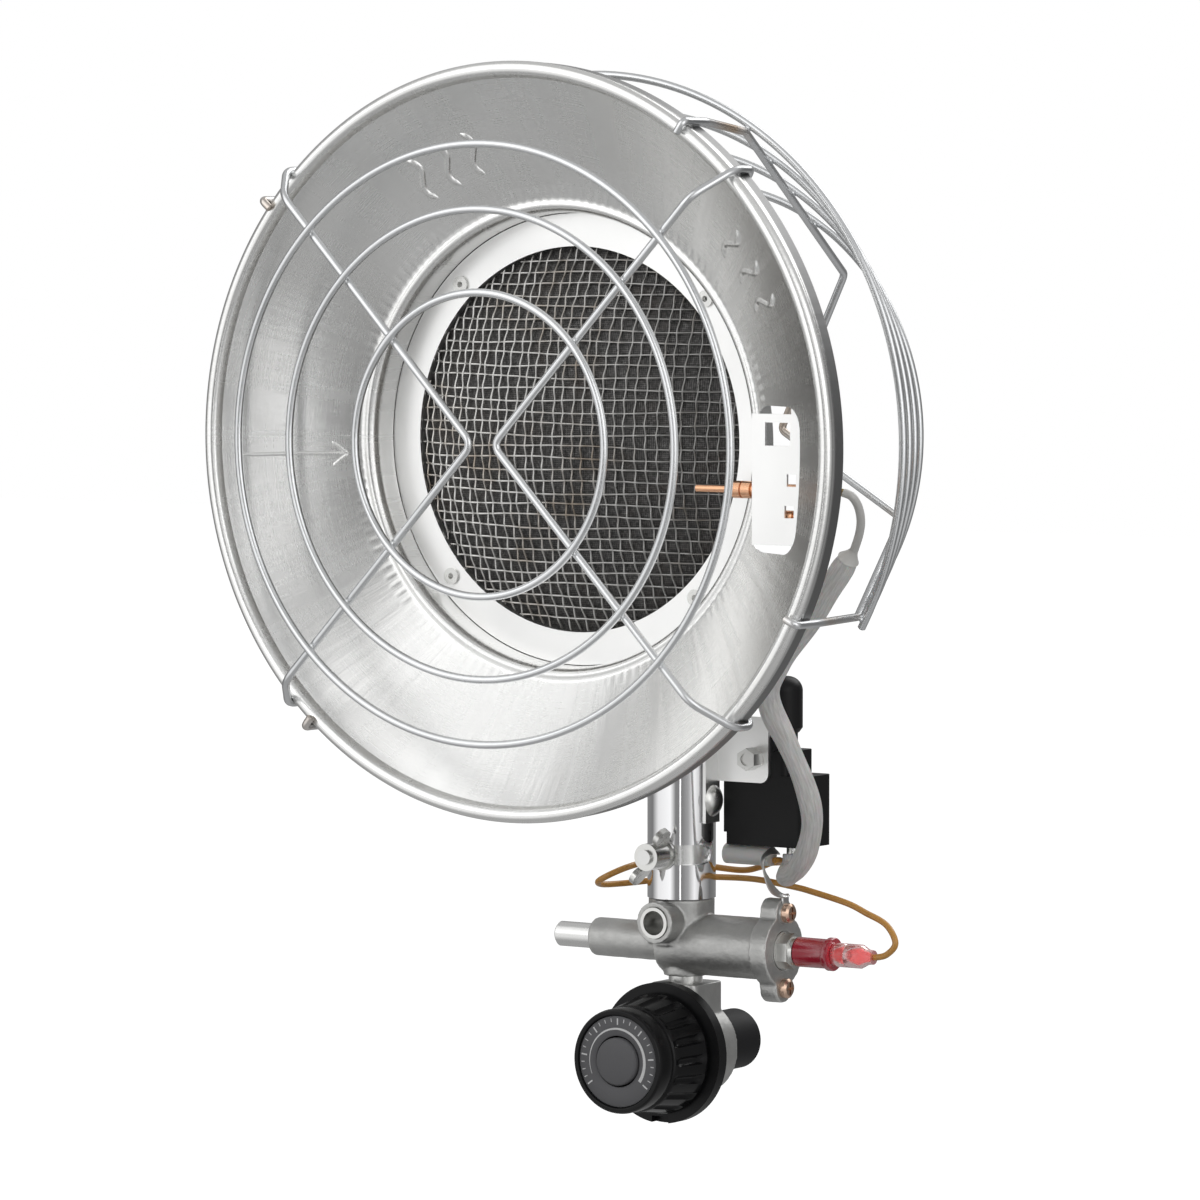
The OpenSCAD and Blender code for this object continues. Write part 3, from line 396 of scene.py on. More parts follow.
def plastic(name, colour, rough, grain_mm=0.03):
    """Moulded plastic or rubber: a fine grain, and patches that are paler and rougher."""
    m = Nodes(name)
    grain = m.noise(1500.0, 3, 0.5)
    wear = m.noise(35.0, 4, 0.6)
    lighter = tuple(min(1.0, c * 1.3 + 0.002) for c in colour)
    m.set(Base_Color=m.mix(wear, colour, lighter), Specular_IOR_Level=0.18,
          Roughness=m.range(wear, 0.3, 0.7, rough - 0.05, rough + 0.07), Normal=m.bump(grain, grain_mm))
    return m.material


def clear_red(name, colour, transmission):
    """Red plastic that lets some light through."""
    m = Nodes(name)
    cloud = m.noise(160.0, 3)
    m.set(Base_Color=m.mix(cloud, colour, tuple(min(1.0, c * 1.25) for c in colour)),
          Roughness=0.22, Transmission_Weight=transmission, IOR=1.46,
          Normal=m.bump(m.noise(260.0, 2), 0.08))
    return m.material


def sleeve_white():
    """Glass-fibre sleeve: milky, with fine threads that run along it."""
    m = Nodes("sleeve_white")
    u, v, _ = m.split(m.new("ShaderNodeUVMap").outputs[0])
    stripe = m.noise_over(m.math("MULTIPLY", u, 34.0), m.math("MULTIPLY", v, 7.0), 0.6)
    colour = m.mix(m.range(stripe, 0.35, 0.65, 0.0, 1.0), (0.66, 0.66, 0.64), (0.90, 0.90, 0.89))
    m.set(Base_Color=colour, Roughness=0.38, Transmission_Weight=0.12, Subsurface_Weight=0.25,
          Subsurface_Scale=0.004, Normal=m.bump(stripe, 0.35))
    return m.material


def woven_fine():
    """The fine inner mesh: a dark, close weave of heat-stained wire."""
    m = Nodes("woven_fine")
    x, _, z = m.split(m.where)
    lines = [m.math("ABSOLUTE", m.math("SINE", m.math("MULTIPLY", axis, 3900.0))) for axis in (x, z)]
    weave = m.math("MAXIMUM", *lines)
    patch = m.noise(60.0, 4, 0.65)
    speck = m.noise(900.0, 3, 0.7)
    colour = m.mix(m.math("MULTIPLY", m.math("POWER", weave, 4.0), m.range(speck, 0.35, 0.7, 0.1, 1.0)),
                   (0.035, 0.034, 0.033), (0.26, 0.255, 0.25))
    colour = m.mix(m.range(patch, 0.5, 0.75, 0.0, 0.35), colour, (0.10, 0.075, 0.06))
    m.set(Base_Color=colour, Metallic=0.7, Roughness=0.48, Normal=m.bump(weave, 0.25))
    return m.material


def heat_wire():
    """The burner's coarse wires: bright steel, with straw and brown patches from the flame.

    They are also painted darker from left to right, as the photograph shows them. The shade is fixed to
    the piece, so it stays there in every view.
    """
    m = Nodes("heat_wire")
    near = m.noise(38.0, 4, 0.6)
    spot = m.noise(260.0, 3, 0.6)
    steel = m.mix(spot, (0.55, 0.54, 0.52), (0.92, 0.91, 0.89))
    tinted = m.mix(m.range(near, 0.50, 0.68, 0.0, 0.8), steel, (0.34, 0.27, 0.20))
    side = m.range(m.split(m.where)[0], -0.07, 0.06, 1.1, 0.36)
    shade = m.new("ShaderNodeVectorMath", operation="SCALE")
    m.link(tinted, shade.inputs[0])
    m.link(side, shade.inputs["Scale"])
    m.set(Base_Color=shade.outputs[0], Metallic=1.0, Roughness=m.range(spot, 0.3, 0.7, 0.24, 0.42))
    return m.material


def sheath(name, colour, rough=0.35):
    """Wire insulation with faint scuffs along it."""
    m = Nodes(name)
    scuff = m.noise(120.0, 4, 0.6)
    m.set(Base_Color=m.mix(scuff, tuple(c * 0.72 for c in colour), colour), Roughness=rough,
          Coat_Weight=0.3, Normal=m.bump(m.noise(500.0, 2), 0.04))
    return m.material


SPUN = spun_steel()
PLATE = metal("plate_steel", (0.96, 0.96, 0.95), 0.34, (40, 40, 40), 0.05, 0.01)
WIRE = guard_wire("guard_wire", False)
WIRE_TINT = guard_wire("guard_wire_tinted", True)
CHROME = metal("chrome", (0.88, 0.88, 0.89), 0.06, (90, 90, 10), 0.03, 0.004, 300.0)
ZINC = metal("zinc_plate", (0.74, 0.74, 0.72), 0.28, (70, 70, 70), 0.07, 0.03, 700.0)
TURNED = metal("turned_steel", (0.76, 0.76, 0.75), 0.24, (400, 8, 8), 0.06, 0.02, 600.0)
COPPER = metal("copper", (0.82, 0.46, 0.28), 0.24, (60, 90, 90), 0.06)
BRASS = metal("brass", (0.80, 0.62, 0.30), 0.26, (60, 90, 90), 0.06)
SCREW = metal("screw_yellow", (0.66, 0.47, 0.36), 0.25, (90, 90, 90), 0.08, 0.02)
SPRING = metal("spring_wire", (0.52, 0.53, 0.55), 0.3)
BRAID = metal("braid", (0.70, 0.70, 0.69), 0.34, (300, 300, 60), 0.08, 0.08, 1400.0)
CAST = casting()
BLACK = plastic("black_satin", (0.007, 0.007, 0.0075), 0.34)
BLACK_MATT = plastic("black_matt", (0.011, 0.011, 0.012), 0.50, 0.05)
GREY = plastic("grey_face", (0.115, 0.115, 0.12), 0.42)
GLOSS = plastic("black_gloss", (0.005, 0.005, 0.0055), 0.15, 0.008)
PRINT = plastic("print_white", (0.62, 0.62, 0.62), 0.5)
RUBBER = plastic("rubber", (0.03, 0.03, 0.03), 0.7, 0.06)
RED_DARK = clear_red("red_socket", (0.42, 0.008, 0.03), 0.15)
RED_CLEAR = clear_red("red_plug", (0.92, 0.20, 0.20), 0.55)
SLEEVE = sleeve_white()
ORANGE = sheath("orange_wire", (0.74, 0.36, 0.07))
MILKY = sheath("boot_milky", (0.80, 0.79, 0.76), 0.32)
WOVEN = woven_fine()
HEAT_WIRE = heat_wire()

NODE_MATERIAL = {
    "valve_body": CAST, "neck_post": TURNED, "gas_jet": BRASS, "clamp_stud": TURNED,
    "clamp_washers": ZINC, "wing_nut": ZINC, "push_pin": TURNED, "valve_disc": RUBBER,
    "pin_spring": SPRING, "magnet_unit": ZINC, "flange_screws": SCREW, "flange_nut": ZINC,
    "connector_socket": RED_DARK, "connector_plug": RED_CLEAR, "port_bush": ZINC,
    "union_collar": ZINC, "bleed_screw": ZINC, "regulator_body": CAST, "regulator_bonnet": BLACK,
    "diaphragm": RUBBER, "range_spring": SPRING, "inlet_barrel": BLACK_MATT, "inlet_bush": BRASS,
    "inlet_filter": BRASS, "knob": BLACK, "knob_cap": GREY, "knob_spindle": TURNED,
    "neck_sleeve": CHROME, "feed_tube": PLATE, "burner_pan": PLATE, "burner_plate": PLATE,
    "burner_mesh": HEAT_WIRE, "inner_mesh": WOVEN, "burner_rivets": ZINC, "reflector": SPUN,
    "front_rings": WIRE, "front_spokes": WIRE, "rear_rings": WIRE, "rear_spokes": WIRE_TINT,
    "electrode_bracket": PLATE, "spark_electrode": COPPER, "electrode_terminal": BRASS,
    "thermocouple": COPPER, "igniter_bracket": PLATE, "bracket_rivet": ZINC,
    "bracket_bolt": ZINC, "bracket_nut": ZINC, "igniter_housing": BLACK, "igniter_button": BLACK,
    "button_spring": SPRING, "piezo_element": BLACK_MATT, "piezo_terminal": ZINC,
    "tilt_switch": SLEEVE, "spark_lead": SLEEVE, "lead_boot": MILKY, "ground_lead": BRAID,
    "switch_lead": ORANGE,
}
for name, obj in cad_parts.items():
    obj.data.materials.clear()
    obj.data.materials.append(NODE_MATERIAL[name])


# small rounded edges on the pieces that keep their CAD mesh
for name, width in {"igniter_housing": 1.0, "regulator_bonnet": 0.7, "flange_nut": 0.4, "bracket_nut": 0.4,
                    "igniter_bracket": 0.3, "electrode_bracket": 0.25, "wing_nut": 0.7, "inlet_barrel": 0.5,
                    "push_pin": 0.3, "clamp_washers": 0.2}.items():
    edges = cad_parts[name].modifiers.new("edges", "BEVEL")
    edges.width = width * MM
    edges.segments = 3
    edges.limit_method = "ANGLE"
    edges.angle_limit = math.radians(50)
    edges.harden_normals = True


# ---------- leads: the CAD source's routes, measured from the neck's axis ----------
BOOT_ROUTE = [
    (137.4, -95.5, 236.5), (140.6, -94.5, 235), (141.6, -91.5, 231), (140.6, -88, 225.5),
    (138, -85, 220), (133.4, -81.2, 213.6)]
SPARK_ROUTE = [
    (129.8, -80, 209.6), (121.3, -77.5, 199.5), (112.3, -75, 188), (102, -72.5, 176.5),
    (92, -69.5, 166.5), (84.5, -66, 157.5), (82.5, -61, 148), (85.5, -54, 134.5),
    (88, -45, 117.5), (86, -36, 103), (77.5, -26, 89.5), (66.5, -16, 80), (57, -7.5, 76),
    (50.5, 1, 74.5), (47.5, 7, 75), (46.7, 10.8, 78), (46.7, 11.5, 82.2)]
GROUND_ROUTE = [
    (50.6, 0, 66.6), (50.8, -5, 67.8), (51, -11, 70.5), (50.5, -14.5, 75.5), (48, -13, 80.5),
    (45, -5.5, 83), (43.5, 2, 84), (41, 7.8, 83.6), (38.6, 9, 83)]
SWITCH_ROUTE = [
    (93.1, 0, 44), (98.8, 0, 45.5), (103, 0, 50.5), (97.5, 2, 57.3), (86.6, 4, 61.3),
    (76.2, 6, 64.5), (56.4, 11, 67.5), (46.4, 13.5, 68.6), (26.3, 16, 70.3), (7, 17, 70),
    (-10, 16, 69), (-22, 9, 67.5), (-29.9, 1, 66.6), (-33.5, -8, 66.8), (-32, -14, 68.5),
    (-26, -16, 71.5), (-20.5, -12, 74.5), (-18.5, -2, 76), (-17.5, 8, 76), (-12, 17.5, 75),
    (-1.5, 21, 73.8), (15.7, 21.5, 73), (25.4, 20.5, 75), (32.1, 18.2, 77.2),
    (37.5, 16.5, 78), (40, 12.5, 79.3), (39.1, 9.3, 79.4)]


def wrap_uv(obj, sides):
    """u round a swept tube and v along it, from the order of its points."""
    layer = obj.data.uv_layers.new(name="UVMap")
    count = len(obj.data.vertices)
    for loop in obj.data.loops:
        i = loop.vertex_index
        layer.data[loop.index].uv = ((i % sides) / sides, (i // sides) * sides / count * 4)


def make_leads():
    # the wide sleeve is a flattened tube, a little uneven along its length
    line = catmull(SPARK_ROUTE, 8)

    def sleeve_section(i, share):
        wide = 4.6 + 0.25 * math.sin(share * 23) + 0.2 * math.sin(share * 51)
        flat = 0.86 + 0.08 * math.cos(share * 17)
        ends = min(1.0, 0.9 + 4 * share, 0.9 + 9 * (1 - share))
        return circle(wide * ends, 40, flat)

    sleeve = add_mesh("spark_sleeve", *sweep(line, sleeve_section), NECK, math.radians(60))
    wrap_uv(sleeve, 40)
    finish_piece(sleeve, "head", SLEEVE, "clear_sleeve", "spark_lead")

    # thin lead from the electrode's terminal, flaring into the sleeve
    boot = Parts().tube(catmull(BOOT_ROUTE, 8), 1.7, 20)
    start, end = Vector(BOOT_ROUTE[-1]), Vector(SPARK_ROUTE[0])
    taper = [start.lerp(end, k / 12) for k in range(12)]
    boot.add(*sweep(taper, lambda i, share: circle(1.8 + 2.8 * share ** 1.5, 28, 0.95)))
    finish_piece(boot.made("lead_boot_soft", NECK), "head", MILKY, "clear_sleeve", "lead_boot")

    wire = Parts().tube(catmull(SWITCH_ROUTE, 8), 1.3, 16).made("orange_lead", NECK)
    wire.data.materials.append(ORANGE)
    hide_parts("switch_lead")
    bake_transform(wire)

    # flat braided strap from the flange's upper screw to the tilt switch, twisting to both sides
    line = catmull(GROUND_ROUTE, 8)

    def strap_section(i, share):
        turn = 1.4 * math.sin(share * 5.5)
        a, b = math.cos(turn), math.sin(turn)
        return [(p * a - q * b, p * b + q * a) for p, q in circle(2.3, 20, 0.24)]

    strap = Parts().add(*sweep(line, strap_section))
    # the eyelet under the screw's head, and the tongue that joins it to the strap
    screw_x, screw_z = 50, 59.4
    eyelet_points, eyelet_faces = lathe([(2.1, 0), (4.4, 0), (4.4, 1), (2.1, 1)], 48, closed=True)
    eyelet = [Vector((screw_x + p.y, p.x, screw_z + p.z)) for p in eyelet_points]
    strap.add(eyelet, [tuple(reversed(f)) for f in eyelet_faces])
    tongue = ((0.1, -2.1), (0.9, -2.1), (0.9, 2.1), (0.1, 2.1))
    strap.add([Vector((screw_x + x, y, z)) for z in (63, 67.2) for x, y in tongue],
              [(3, 2, 1, 0), (4, 5, 6, 7), (0, 1, 5, 4), (1, 2, 6, 5), (2, 3, 7, 6), (3, 0, 4, 7)])
    strap = strap.made("ground_strap", NECK)
    strap.data.materials.append(BRAID)
    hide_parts("ground_lead")
    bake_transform(strap)


make_leads()


# ---------- reflector ----------
def reflector_profile():
    """(radius, y) round the sheet: seat flange, seat wall, step, bowl, rolled rim, and back again."""
    front = [(FLANGE_IN, PLATE_Y), (SEAT_R - 1.2, PLATE_Y), (SEAT_R - 0.3, PLATE_Y - 0.4),
             (SEAT_R, PLATE_Y - 1.4)]
    front += [(SEAT_R, y) for y in (46, 43, 40.5)]
    step = [(SEAT_R, 40), (90.9, 38), (91.6, 36.3), (92.6, 35.1), (93.8, 34.6), (94.9, 34.9), (95.8, 34.95)]
    front += [tuple(p)[:2] for p in catmull([(a, b, 0) for a, b in step], 3)]
    radii = [97 + (143.4 - 97) * k / 24 for k in range(25)]
    front += [(r, bowl_y(r)) for r in radii]
    bead = []
    for k in range(21):
        a = math.radians(205 + 180 * k / 20)
        bead.append((BOWL_OUT + BEAD_R * math.cos(a), BEAD_Y + BEAD_R * math.sin(a)))
    bead += [(LIP_R, 3.2), (LIP_R, 5.0), (LIP_R, LIP_Y - 0.4), (LIP_R - 0.5, LIP_Y),
             (LIP_R - SHEET, LIP_Y - 0.4), (LIP_R - SHEET, 5.0), (LIP_R - SHEET - 0.7, 4.5), (145.8, 4.4)]
    back = [(r, bowl_y(r) + 1.2) for r in reversed(radii)]
    back += [(SEAT_R + SHEET + 2.4, 37.0), (SEAT_R + SHEET + 0.6, 38.6), (SEAT_R + SHEET, 40.5),
             (SEAT_R + SHEET, 46), (SEAT_R + SHEET, PLATE_Y + SHEET), (FLANGE_IN, PLATE_Y + SHEET)]
    return front, bead, back


def cut_window(obj):
    """Cuts the rounded window that the electrode looks through."""
    a = math.radians(WINDOW_DEG)
    centre = DISH + Vector((WINDOW_R * math.cos(a), 0, -WINDOW_R * math.sin(a)))
    outline = []
    for quarter, (sx, sz) in enumerate(((1, 1), (-1, 1), (-1, -1), (1, -1))):
        for k in range(9):
            turn = math.radians(90 * quarter + 90 * k / 8)
            outline.append((sx * (WINDOW_W - WINDOW_ROUND) + WINDOW_ROUND * math.cos(turn),
                            sz * (WINDOW_H - WINDOW_ROUND) + WINDOW_ROUND * math.sin(turn)))
    n = len(outline)
    points = [Vector((x, y, z)) for y in (-1, 39) for x, z in outline]
    faces = [tuple(range(n)), tuple(reversed(range(n, 2 * n)))]
    faces += [(k, k + n, (k + 1) % n + n, (k + 1) % n) for k in range(n)]
    cutter = add_mesh("window_cutter", points, faces, centre, None)
    cut = obj.modifiers.new("window", "BOOLEAN")
    cut.object = cutter
    cut.solver = "MANIFOLD"
    apply_modifiers(obj)
    bpy.data.objects.remove(cutter)


def apply_modifiers(obj):
    graph = bpy.context.evaluated_depsgraph_get()
    mesh = bpy.data.meshes.new_from_object(obj.evaluated_get(graph))
    obj.modifiers.clear()
    obj.data = mesh


def on_bowl(r, degrees):
    return on_circle(r, degrees, bowl_y(r))


def bowl_normal(r, degrees):
    slope = -2 * r * BOWL_DEPTH / (BOWL_OUT ** 2 - BOWL_IN ** 2)
    a = math.radians(degrees)
    n = Vector((slope * math.cos(a), -1, slope * math.sin(a)))
    return n.normalized()


def ridge(parts, strokes, half_width, height):
    """A pressed ridge: a low rounded bead along (radius, degrees) points on the bowl's face."""
    for stroke in strokes:
        line = catmull([(r, d, 0) for r, d in stroke], 8)
        where = [on_bowl(p.x, p.y) for p in line]
        normals = [bowl_normal(p.x, p.y) for p in line]
        n = len(where)
        points, faces = [], []
        shape = [(-1.0, -0.2), (-0.8, 0.25), (-0.45, 0.8), (0, 1.0), (0.45, 0.8), (0.8, 0.25), (1.0, -0.2)]
        for i in range(n):
            t = (where[min(i + 1, n - 1)] - where[max(i - 1, 0)]).normalized()
            side = t.cross(normals[i])
            taper = min(1.0, 0.15 + 3.0 * min(i, n - 1 - i) / n * 3)
            for a, b in shape:
                points.append(where[i] + side * a * half_width * taper + normals[i] * b * height * taper)
        k = len(shape)
        for i in range(n - 1):
            for j in range(k - 1):
                faces.append((i * k + j, i * k + j + 1, (i + 1) * k + j + 1, (i + 1) * k + j))
        parts.add(points, faces)


def heat_waves(middle_r, middle_deg):
    """Three wavy strokes, pressed side by side."""
    gap_deg, length, swing_deg = 6.5, 17, 1.3
    strokes = []
    for k in (-1, 0, 1):
        stroke = []
        for j in range(7):
            swing = swing_deg * math.sin(j / 6 * 2 * math.pi)
            stroke.append((middle_r - length / 2 + length * j / 6, middle_deg + k * gap_deg + swing))
        strokes.append(stroke)
    return strokes


def make_reflector():
    front, bead, back = reflector_profile()
    profile = front + bead + back
    bowl = add_mesh("spun_bowl", *lathe(profile, 288, closed=True), DISH, None)
    cut_window(bowl)
    bowl.data.polygons.foreach_set("use_smooth", [True] * len(bowl.data.polygons))
    bowl.data.set_sharp_from_angle(angle=math.radians(32))
    finish_piece(bowl, "head", SPUN, "dish_steel", "reflector")

    marks = Parts()
    # the arrow that points along the face to the burner
    level = 183.5
    shaft = [(137, level - 0.2), (120, level), (101, level + 0.6)]
    tip = (101.2, level + 0.6)
    ridge(marks, [shaft], 0.9, 0.5)
    ridge(marks, [[(107, level - 2.3), tip], [(107, level + 3.1), tip]], 0.9, 0.5)
    ridge(marks, heat_waves(118, 112) + heat_waves(121, 34), 1.5, 0.85)
    finish_piece(marks.made("pressed_marks", DISH, math.radians(60)), "head", SPUN, "dish_steel")


make_reflector()


# ---------- burner ----------
DOME_R = (MESH_R ** 2 + MESH_RISE ** 2) / (2 * MESH_RISE)


def dome_y(r, depth=0.0):
    """Depth behind the rim's plane of the dome's face, or of a layer that lies depth under it."""
    return PLATE_Y - MESH_RISE + DOME_R - math.sqrt(max((DOME_R - depth) ** 2 - r * r, 1.0))


def make_burner():
    random.seed(7)
    pitch, wire, wave = 4.6, 0.43, 0.5
    mesh = Parts()
    count = int(MESH_R / pitch)
    for along in (0, 1):
        for k in range(-count, count + 1):
            offset = (k + 0.5 * along) * pitch
            if abs(offset) > MESH_R - 1.5:
                continue
            half = math.sqrt(MESH_R ** 2 - offset ** 2) - 0.3
            steps = max(8, int(2 * half / pitch * 4))
            phase = random.uniform(-0.35, 0.35)
            line = []
            for i in range(steps + 1):
                s = -half + 2 * half * i / steps
                lift = wave * math.cos(math.pi * (s / pitch - 0.5 * (1 - along)) + math.pi * k)
                uneven = noise.noise(Vector((s * 0.06, offset, along * 9)))
                drift = 0.55 * math.sin(s * 0.055 + phase * 8) + 0.3 * uneven
                x, z = (s, offset + drift) if along else (offset + drift, s)
                r = min(math.hypot(x, z), MESH_R + 1)
                line.append(Vector((x, dome_y(r, 1.0) - lift, z)))
            mesh.tube(line, wire, 6)
    weave = mesh.made("woven_mesh", DISH, math.radians(80))
    finish_piece(weave, "head", HEAT_WIRE, "mesh_steel", "burner_mesh")

    fine_r, fine_depth = 78.3, 2.3
    rows = [(r, dome_y(r, fine_depth)) for r in [0.01] + [fine_r * k / 40 for k in range(1, 41)]]
    under = add_mesh("fine_mesh", *lathe(rows, 144), DISH, math.radians(60))
    finish_piece(under, "head", WOVEN, "mesh_steel", "inner_mesh")


make_burner()


# ---------- wire guards ----------
def ring(parts, r, y):
    parts.tube([on_circle(r, 2 * k, y) for k in range(180)], WIRE_R, 16, closed=True)


def weld(parts, at, along, size):
    """A small weld bead of (half length, radius): a lump drawn out along a direction."""
    t = Vector(along).normalized()
    line = [Vector(at) + t * size[0] * s for s in (-1, -0.8, -0.4, 0, 0.4, 0.8, 1)]
    widths = (0.15, 0.62, 0.92, 1.0, 0.92, 0.62, 0.15)
    parts.add(*sweep(line, lambda i, share: circle(size[1] * widths[i], 12)))


HOOK_R = DISH_R + WIRE_R + 0.1
HOOK_Y = LIP_Y + WIRE_R + 0.3
SPOKE_Y = FRONT_Y + 2 * WIRE_R


def spoke_end(a):
    return [on_circle(BOWL_OUT - 1, a, HOOK_Y), on_circle(HOOK_R, a, HOOK_Y), on_circle(HOOK_R, a, -1),
            on_circle(DISH_R - 13, a, SPOKE_Y)]


def capped_tube(parts, line):
    """A guard wire with rounded ends."""
    cap = 0.5
    full = [line[0], line[0] + cap * (line[1] - line[0]).normalized()]
    full += list(line[1:-1])
    full += [line[-1] + cap * (line[-2] - line[-1]).normalized(), line[-1]]

    def section(i, share):
        at_end = i in (0, len(full) - 1)
        return circle(WIRE_R * (0.55 if at_end else 1.0), 16)

    parts.add(*sweep(full, section))


def make_guards():
    rings = Parts()
    for r in FRONT_RINGS:
        ring(rings, r, FRONT_Y)
    spokes = Parts()
    for side in (0, 180):
        tip = Vector((5 * math.cos(math.radians(side)), SPOKE_Y, 0))
        points = spoke_end(side + 45) + [tip] + spoke_end(side - 45)[::-1]
        capped_tube(spokes, rounded(points, 5.0, 10))
        for a in (side + 45, side - 45):
            foot = on_circle(DISH_R - 13, a, SPOKE_Y)
            for r in FRONT_RINGS:
                # where the spoke passes under the ring
                d = foot - tip
                b = tip.x * d.x + tip.z * d.z
                c = tip.x ** 2 + tip.z ** 2 - r * r
                q = d.x ** 2 + d.z ** 2
                t = (-b + math.sqrt(b * b - q * c)) / q
                at = tip + d * t
                weld(rings, at + Vector((0, -WIRE_R, 0)), d, (2.1, 1.25))
    finish_piece(rings.made("guard_rings", DISH), "head", WIRE, "guard_wire", "front_rings")
    finish_piece(spokes.made("guard_spokes", DISH), "head", WIRE, "guard_wire", "front_spokes")

    # the rear rings are open at the bottom; two bent wires hold them
    back_rings, wires = Parts(), Parts()
    for r, y in REAR_RINGS:
        first, last = REAR_ANGLES[1] - 1.6, REAR_ANGLES[3] + 1.6
        capped_tube(back_rings, [on_circle(r, first + (last - first) * k / 150, y) for k in range(151)])
    (r0, y0), (r3, y3) = REAR_RINGS[0], REAR_RINGS[-1]
    slope = math.atan2(y3 - y0, r0 - r3)
    in_r, in_y = 2 * WIRE_R * math.sin(slope), 2 * WIRE_R * math.cos(slope)
    back_r = r0 - in_r - (REAR_BACK_Y - y0 + in_y) / math.tan(slope)
    front = BEAD_Y - BEAD_R - WIRE_R - 0.3

    def half(k):
        return [on_circle(BOWL_OUT - 1, REAR_HOOKS[k], front), on_circle(HOOK_R, REAR_HOOKS[k], front),
                on_circle(HOOK_R, REAR_HOOKS[k], HOOK_Y), on_circle(r0 - in_r, REAR_ANGLES[k], y0 - in_y),
                on_circle(back_r, REAR_ANGLES[k], REAR_BACK_Y)]

    for side in (0, 1):
        points = half(2 * side) + [Vector(((1 - 2 * side) * 8, REAR_BACK_Y, 0))] + half(2 * side + 1)[::-1]
        capped_tube(wires, rounded(points, 2.6, 8))
        for k in (2 * side, 2 * side + 1):
            for r, y in REAR_RINGS:
                at = on_circle(r - in_r / 2, REAR_ANGLES[k], y - in_y / 2)
                weld(back_rings, at, on_circle(-math.cos(slope), REAR_ANGLES[k], math.sin(slope)), (2.0, 1.3))
    finish_piece(back_rings.made("rear_guard_rings", DISH), "head", WIRE, "guard_wire", "rear_rings")
    finish_piece(wires.made("rear_guard_wires", DISH), "head", WIRE_TINT, "guard_wire", "rear_spokes")


make_guards()


# ---------- cast and moulded bodies ----------
def softened(node, name):
    """A CAD solid with the soft fillets of a casting: remeshed, smoothed and slightly uneven."""
    voxel_mm, rounds, lumps_mm = 0.5, 5, 0.10
    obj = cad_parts[node].copy()
    obj.data = obj.data.copy()
    obj.name = obj.data.name = name
    obj.parent = None
    bpy.context.scene.collection.objects.link(obj)
    remesh = obj.modifiers.new("remesh", "REMESH")
    remesh.mode = "VOXEL"
    remesh.voxel_size = voxel_mm * MM
    relax = obj.modifiers.new("relax", "SMOOTH")
    relax.factor = 0.5
    relax.iterations = rounds
    apply_modifiers(obj)
    normals = [v.normal.copy() for v in obj.data.vertices]
    for v, normal in zip(obj.data.vertices, normals):
        v.co += normal * lumps_mm * MM * noise.noise(v.co * 260)
    obj.data.polygons.foreach_set("use_smooth", [True] * len(obj.data.polygons))
    # the copy drops the CAD node's own marks
    for key in list(obj.keys()):
        del obj[key]
    finish_piece(obj, "base", CAST, "casting", node)


softened("valve_body", "valve_casting")
softened("regulator_body", "regulator_casting")


# ---------- control knob ----------
def ribbed(r, y, a):
    """Radius of the skirt: long grooves that fade out towards both of its ends."""
    grooves, depth = 18, 1.5
    fade = min(1.0, max(0.0, (y + 37.0) / 3.0), max(0.0, (-19.0 - y) / 2.5)) if y > -37.5 else 0.0
    dip = max(0.0, math.cos(grooves * a)) ** 0.7
    return r - depth * fade * dip


